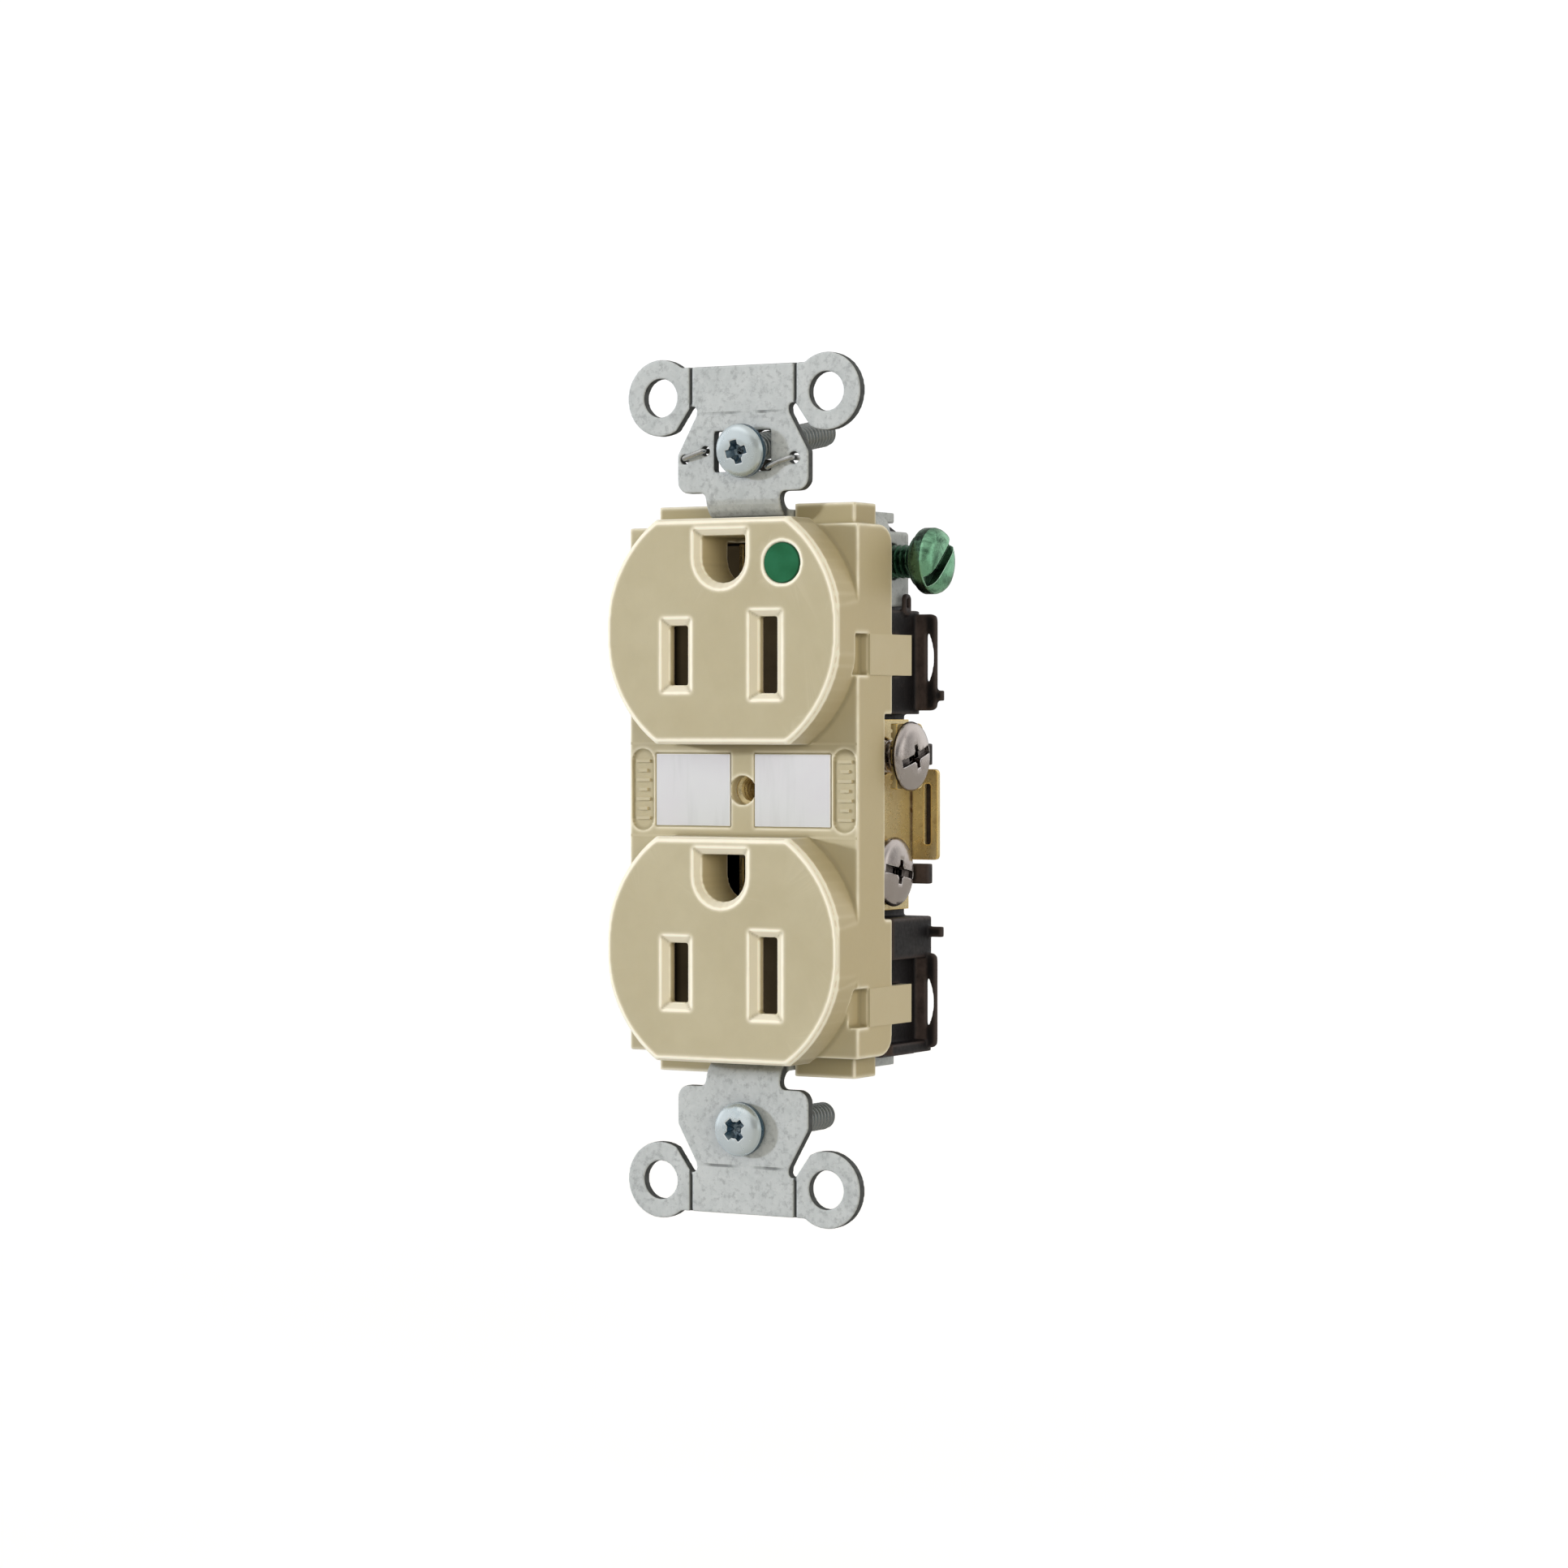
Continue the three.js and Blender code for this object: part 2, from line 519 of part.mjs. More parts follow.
// ---------- screws, clamp plates, washers ----------
const shankProfile = (length) => [
  [0, -length], [SCREW_RADIUS - 0.4, -length], [SCREW_RADIUS, 0.5 - length], [SCREW_RADIUS, 0],
];

// right-hand screw; underX is the underside of the head
const terminalScrew = (underX, tipX, z) => {
  const radius = 4.3;
  const thick = 1.42;
  const screw = turnedX([
    ...shankProfile(underX - tipX),
    [radius - 0.15, 0], [radius, 0.25], [radius, 0.72], [radius - 0.6, 1.14],
    [2.2, thick], [0, thick],
  ], underX, SCREW_DEPTH, z, 26);
  const headX = underX + thick;
  const recess = (halfDepth, halfHeight) =>
    box(headX - 0.8, headX + 1, SCREW_DEPTH - halfDepth, SCREW_DEPTH + halfDepth,
      z - halfHeight, z + halfHeight);
  return screw.subtract(recess(2.9, 0.45)).subtract(recess(0.45, 1.7));
};

const clampPlate = (innerX, z) =>
  rail(roundedRect(SCREW_DEPTH - 3.5, SCREW_DEPTH + 4.05, z - 4.05, z + 4.05, 1, 3),
    innerX, innerX + CLAMP_THICK)
    .subtract(cylinderX(innerX - 1, innerX + 2, SCREW_DEPTH, z, SCREW_HOLE_RADIUS));

const GROUND_UNDER_X = GROUND_SCREW.headX - GROUND_SCREW.headThick;
const groundScrew = () => {
  const { depth, z, headX, headThick, headRadius, tipX } = GROUND_SCREW;
  const slotTurn = 42; // degrees from the depth direction
  const slot = new THREE.BoxGeometry(2.3, 12, 1.2)
    .rotateX((slotTurn * Math.PI) / 180)
    .translate(headX, toY(depth), z);
  return turnedX([
    ...shankProfile(GROUND_UNDER_X - tipX),
    [headRadius - 0.2, 0], [headRadius, 0.3], [headRadius, 1.75], [headRadius - 0.55, 2.4],
    [2.4, headThick], [0, headThick],
  ], GROUND_UNDER_X, depth, z, 26).subtract(solid(slot));
};
const groundWasher = () => turnedX(
  [[2.25, -0.75], [3.2, -0.75], [3.4, -0.5], [3.4, -0.05], [2.25, -0.05], [2.25, -0.75]],
  GROUND_UNDER_X, GROUND_SCREW.depth, GROUND_SCREW.z, 22);

// 6-32 screw with a crossed recess; lift moves it forwards
const mountingScrew = (z, lift = 0) => {
  const radius = 1.74;
  const headRadius = 3.3;
  const tip = 20.9;
  return turnedY([
    [0, -2.15], [1.7, -2.05], [2.7, -1.7], [headRadius, -1.1], [headRadius, -0.25],
    [headRadius - 0.2, -0.08], [radius, -0.08], [radius, tip - 0.9], [radius - 0.7, tip], [0, tip],
  ], z, 26)
    .subtract(box(-1.75, 1.75, -3, -0.7, z - 0.42, z + 0.42))
    .subtract(box(-0.42, 0.42, -3, -0.7, z - 1.75, z + 1.75))
    .translate([0, -lift, 0]);
};

const retainer = (front, z, radius) => turnedY(
  [[1.9, front], [radius, front], [radius, front + 0.8], [1.9, front + 0.8], [1.9, front]], z, 22);

// ---------- finishes ----------
const IVORY = { color: "#c0b597", roughness: 0.45, metalness: 0 };
const BLACK = { color: "#2b2929", roughness: 0.5, metalness: 0 };
const ZINC = { color: "#c0c5c5", roughness: 0.42, metalness: 1 };
const NICKEL = { color: "#b4a9a2", roughness: 0.25, metalness: 1 };
const BRASS = { color: "#c79a4b", roughness: 0.3, metalness: 1 };
const GREEN = { color: "#4f9b6c", roughness: 0.35, metalness: 0.8 };
const DOT_GREEN = { color: "#2f6b4e", roughness: 0.5, metalness: 0 };
const LABEL = { color: "#d8d8d8", roughness: 0.4, metalness: 0.3 };
const WIRE = { color: "#b9bcbc", roughness: 0.3, metalness: 1 };
const STEEL = { color: "#c3d0d0", roughness: 0.25, metalness: 1 };
const FIBRE = { color: "#8a6f4e", roughness: 0.8, metalness: 0 };

// ---------- the assembly ----------
const addMesh = (parent, name, shape, finish) => {
  const { vertProperties, triVerts } = shape.getMesh();
  const geometry = new THREE.BufferGeometry()
    .setAttribute("position", new THREE.BufferAttribute(vertProperties, 3))
    .setIndex([...triVerts]);
  geometry.computeVertexNormals();
  const mesh = new THREE.Mesh(geometry, new THREE.MeshStandardMaterial(finish));
  mesh.name = name;
  parent.add(mesh);
};
const addGroup = (parent) => {
  const group = new THREE.Group();
  parent.add(group);
  return group;
};

const outlet = new THREE.Group();
const device = addGroup(outlet);
device.position.z = -SEAT_Z;
addMesh(device, "face_cover", housing(), IVORY);
addMesh(device, "rear_base", base(), BLACK);
addMesh(device, "mounting_strap", strap(), ZINC);
addMesh(device, "hospital_grade_dot", dot(), DOT_GREEN);
addMesh(device, "label_plate_left", labelPlate(-LABEL_X), LABEL);
addMesh(device, "label_plate_right", labelPlate(LABEL_X), LABEL);
addMesh(device, "center_post", centerPost(), BRASS);
addMesh(device, "ground_wire_clip", groundWire(), WIRE);

const groundPath = addGroup(device);
["upper", "lower"].forEach((level, i) => {
  addMesh(groundPath, `ground_contact_${level}`, groundContact(GROUND_ZS[i]), BRASS);
  addMesh(groundPath, `ground_rivet_${level}`, groundRivet(GROUND_ZS[i]), ZINC);
});

// neutral terminals on the right, hot ones mirrored to the left
const addTerminals = (label, toSide, screwFinish) => {
  const group = addGroup(device);
  const gap = 0.04; // between plate, clamp and screw head
  addMesh(group, `${label}_terminal_bus`, toSide(terminalBus()), BRASS);
  for (const [level, z, out] of [
    ["upper", UPPER_SCREW_Z, UPPER_SCREW_OUT],
    ["lower", LOWER_SCREW_Z, 0],
  ]) {
    const clampX = PLATE_X + gap + out;
    const screw = terminalScrew(clampX + CLAMP_THICK + gap, 8.4 + out, z);
    addMesh(group, `${label}_clamp_plate_${level}`, toSide(clampPlate(clampX, z)), BRASS);
    addMesh(group, `${label}_screw_${level}`, toSide(screw), screwFinish);
  }
};
addTerminals("neutral", (shape) => shape, NICKEL);
addTerminals("hot", mirrorX, BRASS);

addMesh(device, "ground_screw", groundScrew(), GREEN);
addMesh(device, "ground_screw_washer", groundWasher(), GREEN);

// the upper mounting screw hangs nose-up in its hole, so its head stands off
const HANGING = { x: 0.6, z: 42, tilt: 9.3, lift: 0.65 }; // tilt in degrees
const hanging = addGroup(device);
hanging.position.set(HANGING.x, 0, HANGING.z);
hanging.rotation.x = (HANGING.tilt * Math.PI) / 180;
addMesh(hanging, "mounting_screw_upper", mountingScrew(0, HANGING.lift), STEEL);
addMesh(device, "mounting_screw_lower", mountingScrew(-MOUNT_Z), STEEL);
addMesh(hanging, "retaining_washer_upper", retainer(5, 0, 3.4), FIBRE);
addMesh(device, "retaining_washer_lower", retainer(3.8, -MOUNT_Z, 3.8), FIBRE);

export default outlet;
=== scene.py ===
import json
import math

import bmesh
import bpy
import numpy as np
from mathutils import Matrix, Vector


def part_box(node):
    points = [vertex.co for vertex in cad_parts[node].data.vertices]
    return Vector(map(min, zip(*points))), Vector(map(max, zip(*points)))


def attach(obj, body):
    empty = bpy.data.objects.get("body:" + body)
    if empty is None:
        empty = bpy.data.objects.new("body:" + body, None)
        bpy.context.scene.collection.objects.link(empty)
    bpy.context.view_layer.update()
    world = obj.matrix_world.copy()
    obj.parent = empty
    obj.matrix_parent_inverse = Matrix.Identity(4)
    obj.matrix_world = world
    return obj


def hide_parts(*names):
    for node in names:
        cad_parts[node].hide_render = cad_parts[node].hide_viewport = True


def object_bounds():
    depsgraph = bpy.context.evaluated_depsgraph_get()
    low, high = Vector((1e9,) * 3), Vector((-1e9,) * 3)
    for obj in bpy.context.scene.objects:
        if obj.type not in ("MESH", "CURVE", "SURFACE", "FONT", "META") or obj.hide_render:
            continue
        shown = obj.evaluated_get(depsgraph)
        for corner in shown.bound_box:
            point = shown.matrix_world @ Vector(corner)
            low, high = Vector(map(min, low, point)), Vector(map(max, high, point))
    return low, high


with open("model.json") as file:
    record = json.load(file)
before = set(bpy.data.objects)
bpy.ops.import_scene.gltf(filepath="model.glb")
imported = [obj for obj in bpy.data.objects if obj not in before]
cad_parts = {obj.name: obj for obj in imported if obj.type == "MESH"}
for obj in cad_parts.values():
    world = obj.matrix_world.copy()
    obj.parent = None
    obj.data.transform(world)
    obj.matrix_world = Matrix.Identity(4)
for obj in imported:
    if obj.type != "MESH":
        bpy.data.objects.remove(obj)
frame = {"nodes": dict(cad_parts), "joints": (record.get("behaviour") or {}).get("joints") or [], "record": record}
cad_low, cad_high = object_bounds()
NODES = frame["nodes"]
SLOT = {part["node"]: part["material_slot"] for part in frame["record"]["subparts"]}
BODY = {
    node: body
    for body, nodes in frame["record"]["behaviour"]["bodies"].items()
    for node in nodes
}

MM = 0.001
PER_METRE = 1000
MIDDLE_Z = -50.0  # height of the device's middle, mm
STRAP_FRONT = -1.3  # Y of the strap's front plane, mm
THREAD_PITCH = 0.794  # mm, on every screw and in the centre post
THREAD_ROWS = 8  # mesh rows per pitch
SIDES = (("neutral", 1), ("hot", -1))  # terminal side and the sign of its X


# ---- shader kit
def srgb(*levels):
    """0 to 255 sRGB levels as a linear colour."""
    def linear(level):
        level = level / 255.0
        return level / 12.92 if level <= 0.04045 else ((level + 0.055) / 1.055) ** 2.4
    return (*map(linear, levels), 1.0)


class Graph:
    """A node tree; most methods add a node and return its output."""

    def __init__(self, tree):
        self.tree = tree

    def node(self, kind, **settings):
        node = self.tree.nodes.new(kind)
        for name, value in settings.items():
            setattr(node, name, value)
        return node

    def feed(self, socket, value):
        """Sets a plain value, links anything else."""
        if isinstance(value, (int, float, tuple)):
            socket.default_value = value
        else:
            self.tree.links.new(value, socket)

    def ramp(self, value, over=(0, 1), to=(0, 1), smooth=False):
        """Maps the input range `over` to the output range `to`."""
        kind = "SMOOTHSTEP" if smooth else "LINEAR"
        node = self.node("ShaderNodeMapRange", interpolation_type=kind)
        for name, number in zip(("From Min", "From Max", "To Min", "To Max"), (*over, *to)):
            node.inputs[name].default_value = number
        self.feed(node.inputs["Value"], value)
        return node.outputs["Result"]

    def math(self, operation, first, second=None, clamp=False):
        node = self.node("ShaderNodeMath", operation=operation, use_clamp=clamp)
        self.feed(node.inputs[0], first)
        if second is not None:
            self.feed(node.inputs[1], second)
        return node.outputs[0]

    def times(self, first, second, clamp=False):
        return self.math("MULTIPLY", first, second, clamp)

    def size(self, value):
        return self.math("ABSOLUTE", value)

    def distance(self, value, at):
        return self.size(self.math("SUBTRACT", value, at))

    def band(self, value, at, half):
        """1 close to `at`, falling to 0 at the distance `half`."""
        gap = self.distance(value, at)
        return self.ramp(gap, over=(half * 0.4, half), to=(1, 0), smooth=True)

    def mix(self, factor, low, high):
        node = self.node("ShaderNodeMix", data_type="RGBA")
        for key, value in (("Factor", factor), (6, low), (7, high)):
            self.feed(node.inputs[key], value)
        return node.outputs[2]


class Material(Graph):
    """A Principled material whose colour and relief are built up in layers."""

    def __init__(self, name):
        self.data = bpy.data.materials.new(name)
        self.data.use_nodes = True
        super().__init__(self.data.node_tree)
        self.shader = next(n for n in self.tree.nodes if n.type == "BSDF_PRINCIPLED")
        self.point = self.node("ShaderNodeTexCoord").outputs["Object"]
        self.relief = None

    def noise(self, scale, detail, rough=0.5, stretch=None, distortion=0.0):
        point = self.point
        if stretch:
            mapping = self.node("ShaderNodeMapping")
            mapping.inputs["Scale"].default_value = stretch
            self.feed(mapping.inputs["Vector"], point)
            point = mapping.outputs["Vector"]
        node = self.node("ShaderNodeTexNoise")
        for name, value in (("Scale", scale), ("Detail", detail), ("Roughness", rough),
                            ("Distortion", distortion), ("Vector", point)):
            self.feed(node.inputs[name], value)
        return node.outputs["Fac"]

    def mask(self, name, gain=None, clamp=False):
        """A mesh attribute: edge (convex edges), nook (hollows) or well (openings)."""
        value = self.node("ShaderNodeAttribute", attribute_name=name).outputs["Fac"]
        return value if gain is None else self.times(value, gain, clamp)

    def split(self, vector):
        node = self.node("ShaderNodeSeparateXYZ")
        self.feed(node.inputs[0], vector)
        return node.outputs

    def axes(self):
        return self.split(self.point)

    def facing(self, axis):
        """1 where the surface faces either way along the axis, 0 where it lies along it."""
        geometry = self.node("ShaderNodeNewGeometry")
        return self.size(self.split(geometry.outputs["True Normal"])[axis])

    def base(self, factor, low, high):
        """The first colour layer, between two tones."""
        self.colour = self.mix(factor, low, high)
        self.set(Base_Color=self.colour)

    def coat(self, factor, colour):
        """A colour laid over those before it."""
        self.base(factor, self.colour, colour)

    def bump(self, height, strength, distance):
        """Relief laid over any before it."""
        node = self.node("ShaderNodeBump")
        node.inputs["Strength"].default_value = strength
        node.inputs["Distance"].default_value = distance
        self.feed(node.inputs["Height"], height)
        if self.relief is not None:
            self.feed(node.inputs["Normal"], self.relief)
        self.relief = node.outputs["Normal"]
        self.set(Normal=self.relief)

    def set(self, **inputs):
        for name, value in inputs.items():
            self.feed(self.shader.inputs[name.replace("_", " ")], value)


# ---- materials
def ivory():
    """Moulded nylon: fine grain, a painted highlight on the rims, painted shade in corners and openings."""
    mat = Material("ivory_nylon")
    big = mat.noise(scale=55, detail=3)
    mid = mat.noise(scale=380, detail=3, rough=0.55)
    fine = mat.noise(scale=2300, detail=2, rough=0.6)
    _, y, z = mat.axes()
    sideways, frontal = mat.facing(0), mat.facing(1)
    mat.base(mat.ramp(big, over=(0.35, 0.65)), srgb(195, 184, 151), srgb(201, 191, 159))
    mat.coat(mat.ramp(mid, over=(0.35, 0.75), to=(0.0, 0.22)), srgb(178, 167, 133))
    # painted light: surfaces facing along X are lighter and yellower
    mat.coat(mat.ramp(sideways, over=(0.35, 0.95), to=(0, 0.7)), srgb(206, 190, 150))
    # painted shade on the top and bottom ends
    end_shade = mat.ramp(mat.distance(z, MIDDLE_Z * MM), over=(0.0324, 0.0327), to=(0, 0.6))
    mat.coat(end_shade, srgb(168, 154, 112))
    # painted highlight on the edges, strongest on the rims of the front faces, broken up by the grain noise
    front = mat.ramp(y, over=(-0.0060, -0.0056), to=(1, 0))
    rim = mat.times(front, mat.ramp(frontal, over=(0.80, 0.97), to=(1, 0)))
    gain = mat.ramp(y, over=(-0.0062, -0.0054), to=(3.2, 0.8))
    grain = (mat.mask("edge", gain=gain), mat.ramp(mid, over=(0.3, 0.7), to=(0.75, 1.15)))
    pale = mat.math("MAXIMUM", mat.times(*grain, clamp=True), mat.times(rim, 0.66))
    mat.coat(pale, srgb(250, 243, 222))
    # painted shade in hollows and inside the slot openings
    mat.coat(mat.mask("nook", gain=0.5), srgb(132, 119, 84))
    mat.coat(mat.mask("well"), srgb(146, 127, 97))
    mat.set(
        Roughness=mat.ramp(fine, over=(0.3, 0.7), to=(0.34, 0.48)),
        Specular_IOR_Level=0.4,
        Subsurface_Weight=0.1,
        Subsurface_Radius=(0.0009, 0.0007, 0.0004),
        # painted highlight: the same edges also glow faintly
        Emission_Color=srgb(250, 240, 214),
        Emission_Strength=mat.times(pale, 0.11),
    )
    mat.bump(fine, strength=0.10, distance=0.00006)
    mat.bump(mid, strength=0.07, distance=0.00025)
    return mat.data


def black():
    """Black nylon: dusty mottling, painted light on the fronts of the catch ribs, a painted highlight on convex
    edges.
    """
    mat = Material("black_nylon")
    big = mat.noise(scale=140, detail=4)
    fine = mat.noise(scale=2200, detail=3, rough=0.6)
    dust = mat.noise(scale=520, detail=5, rough=0.7)
    x, y, _ = mat.axes()
    mat.base(mat.ramp(big, over=(0.35, 0.7)), srgb(15, 13, 15), srgb(27, 24, 25))
    mat.coat(mat.ramp(dust, over=(0.56, 0.74), to=(0, 0.2)), srgb(78, 70, 66))
    # painted light on the front-facing catch ribs at each side, broken up by the dust noise
    frontal = mat.ramp(mat.facing(1), over=(0.5, 0.9), to=(0, 0.85))
    painted_rib_light = mat.times(frontal, mat.band(mat.size(x), at=0.0154, half=0.0011))
    painted_rib_light = mat.times(painted_rib_light, mat.ramp(dust, over=(0.3, 0.6), to=(0.4, 1.0)))
    mat.coat(painted_rib_light, srgb(92, 79, 75))
    # painted highlight on convex edges
    mat.coat(mat.mask("edge", gain=0.55), srgb(86, 74, 70))
    rough = mat.ramp(fine, over=(0.3, 0.7), to=(0.42, 0.62))
    mat.set(Roughness=rough, Specular_IOR_Level=0.36)
    # what little light reaches the tray through the openings
    depth = mat.band(y, at=0.0049, half=0.0004)
    glow = mat.times(depth, mat.ramp(mat.size(x), over=(0.0125, 0.0135), to=(1, 0)))
    glow = mat.times(glow, mat.ramp(big, over=(0.3, 0.7), to=(0.11, 0.2)))
    mat.set(Emission_Color=srgb(120, 104, 76), Emission_Strength=glow)
    mat.bump(fine, strength=0.22, distance=0.0001)
    return mat.data


def zinc():
    """Dull zinc plate: grainy spangle, rolling marks, dark sheared edges, a press crease; painted shade along the
    crease, in the score lines and in hollows.
    """
    mat = Material("zinc_strap")
    big = mat.noise(scale=170, detail=5, rough=0.65)
    fine = mat.noise(scale=2600, detail=2, rough=0.6)
    roll = mat.noise(scale=900, detail=3, rough=0.6, stretch=(1, 1, 0.07))
    spangle = mat.noise(scale=700, detail=2, distortion=1.2)
    grain = mat.noise(scale=1300, detail=3, rough=0.7)
    x, y, z = mat.axes()
    across, along = mat.size(x), mat.distance(z, MIDDLE_Z * MM)
    mat.base(mat.ramp(big, over=(0.3, 0.7)), srgb(203, 208, 207), srgb(220, 224, 223))
    mat.coat(mat.ramp(spangle, over=(0.35, 0.65), to=(0, 0.45)), srgb(228, 231, 230))
    mat.coat(mat.ramp(grain, over=(0.50, 0.70), to=(0, 0.6)), srgb(166, 170, 170))
    mat.coat(mat.ramp(roll, over=(0.5, 0.75), to=(0, 0.15)), srgb(176, 180, 181))
    # press crease across each end, broken up by noise: painted shade along it, with a matching dent in the bump
    crease = mat.band(along, at=0.04635, half=0.00022)
    reach = mat.ramp(across, over=(0.0045, 0.0062), to=(1, 0.1), smooth=True)
    crease = mat.times(crease, reach)
    crease = mat.times(crease, mat.ramp(mat.noise(scale=240, detail=2), over=(0.4, 0.56)))
    mat.coat(mat.times(crease, 0.7), srgb(104, 107, 108))
    # painted shade in the upright score lines near each end, on the front only
    score = mat.band(across, at=0.00745, half=0.00030)
    score = mat.times(score, mat.ramp(along, over=(0.0462, 0.0466)))
    score = mat.times(score, mat.ramp(y, over=(-0.0007, -0.0004), to=(1, 0)))
    # sheared edges, fading toward the back
    sheared = mat.math("SUBTRACT", 1.0, mat.facing(1), clamp=True)
    sheared = mat.ramp(sheared, over=(0.35, 0.75))
    sheared = mat.times(sheared, mat.ramp(y, over=(0.0003, 0.0012), to=(1, 0.2)))
    # the score lines' painted shade and the sheared edges share one speckled dark colour
    dark = mat.math("MAXIMUM", mat.times(score, 0.92), mat.times(sheared, 0.93))
    speckle = mat.ramp(grain, over=(0.35, 0.7))
    mat.coat(dark, mat.mix(speckle, srgb(34, 36, 37), srgb(84, 87, 88)))
    # painted shade in hollows
    mat.coat(mat.mask("nook", gain=0.5), srgb(70, 72, 73))
    rough = mat.ramp(mat.math("ADD", fine, big), over=(0.7, 1.3), to=(0.42, 0.62))
    mat.set(
        Metallic=mat.ramp(dark, to=(0.38, 0.3)),
        Roughness=mat.math("ADD", rough, mat.times(dark, 0.2), clamp=True),
    )
    mat.bump(fine, strength=0.35, distance=0.00005)
    mat.bump(spangle, strength=0.3, distance=0.00007)
    mat.bump(grain, strength=0.3, distance=0.00006)
    mat.bump(mat.times(crease, -1.0), strength=0.8, distance=0.00012)
    return mat.data


def dot():
    mat = Material("green_dot")
    big = mat.noise(scale=420, detail=3)
    fine = mat.noise(scale=2600, detail=3, rough=0.6)
    mat.base(mat.ramp(big, over=(0.35, 0.65)), srgb(30, 97, 61), srgb(40, 110, 74))
    mat.coat(mat.mask("edge", gain=0.7), srgb(20, 66, 40))
    rough = mat.ramp(fine, over=(0.3, 0.7), to=(0.5, 0.62))
    mat.set(Roughness=rough, Specular_IOR_Level=0.25)
    mat.bump(fine, strength=0.1, distance=0.00004)
    return mat.data


def foil():
    """Blank silver-white label: painted light making it lighter toward the top, faint upright streaks, a painted
    highlight on the rim.
    """
    mat = Material("label_foil")
    half_height = 4.4  # mm
    big = mat.noise(scale=120, detail=3)
    fine = mat.noise(scale=2800, detail=2)
    streak = mat.noise(scale=420, detail=3, rough=0.6, stretch=(1, 1, 0.12))
    # painted light: lighter toward the top
    span = ((MIDDLE_Z - half_height) * MM, (MIDDLE_Z + half_height) * MM)
    mat.base(mat.ramp(mat.axes()[2], over=span), srgb(226, 228, 228), srgb(234, 234, 237))
    mat.coat(mat.ramp(big, over=(0.42, 0.66), to=(0, 0.5)), srgb(226, 223, 228))
    mat.coat(mat.ramp(streak, over=(0.5, 0.7), to=(0, 0.35)), srgb(203, 206, 205))
    # painted highlight on the rim
    mat.coat(mat.mask("edge", gain=0.9), srgb(244, 242, 236))
    rough = mat.ramp(fine, to=(0.34, 0.46))
    mat.set(Metallic=0.12, Roughness=rough, Specular_IOR_Level=0.5)
    mat.bump(fine, strength=0.06, distance=0.00004)
    return mat.data


def fibre():
    mat = Material("fibre")
    big = mat.noise(scale=300, detail=4, rough=0.6)
    hair = mat.noise(scale=1500, detail=4, rough=0.7, stretch=(1, 0.3, 1))
    mat.base(big, srgb(46, 40, 36), srgb(64, 55, 47))
    mat.coat(mat.ramp(hair, over=(0.45, 0.7), to=(0, 0.6)), srgb(34, 30, 27))
    mat.set(Roughness=mat.ramp(hair, to=(0.75, 0.92)))
    mat.bump(hair, strength=0.4, distance=0.0001)
    return mat.data


def metal(name, tones, stain, rough, metallic=1.0, bump=0.1, edge=None, head_side_shade=None,
          shank=None, shank_axis=1, shank_span=(-0.0008, 0.0012), hollow_shade=None,
          stain_span=(0.56, 0.74)):
    """Plated metal in two tones with stains, an optional painted highlight on convex edges, and optional painted
    shade on parts of a screw and in hollows.
    """
    mat = Material(name)
    big = mat.noise(scale=120, detail=4, rough=0.6)
    fine = mat.noise(scale=1500, detail=4, rough=0.65, stretch=(1, 1, 1))
    blotch = mat.noise(scale=330, detail=5, rough=0.7, distortion=0.8)
    mat.base(mat.ramp(big, over=(0.3, 0.7)), *tones)
    mat.coat(mat.ramp(blotch, over=stain_span, to=(0, 0.8)), stain)
    # painted highlight on convex edges
    if edge:
        mat.coat(mat.mask("edge", gain=1.3, clamp=True), edge)
    if head_side_shade:  # painted shade round the side of the head of a screw that points to the front
        around = mat.ramp(mat.facing(1), over=(0.22, 0.42), to=(0.9, 0))
        front = mat.ramp(mat.axes()[1], over=(-0.0012, -0.0004), to=(1, 0))
        mat.coat(mat.times(around, front), head_side_shade)
    if shank:  # painted shade on the shank past the head
        mat.coat(mat.ramp(mat.axes()[shank_axis], over=shank_span, to=(0, 0.85)), shank)
    if hollow_shade:  # painted shade in the driver recess and the thread roots
        patchy = (mat.mask("nook"), mat.ramp(blotch, over=(0.4, 0.6), to=(0.7, 1.0)))
        mat.coat(mat.times(*patchy), hollow_shade)
    texture = mat.math("ADD", fine, blotch)
    mat.set(Metallic=metallic, Roughness=mat.ramp(texture, over=(0.75, 1.25), to=rough))
    mat.bump(fine, strength=bump, distance=0.00005)
    return mat.data


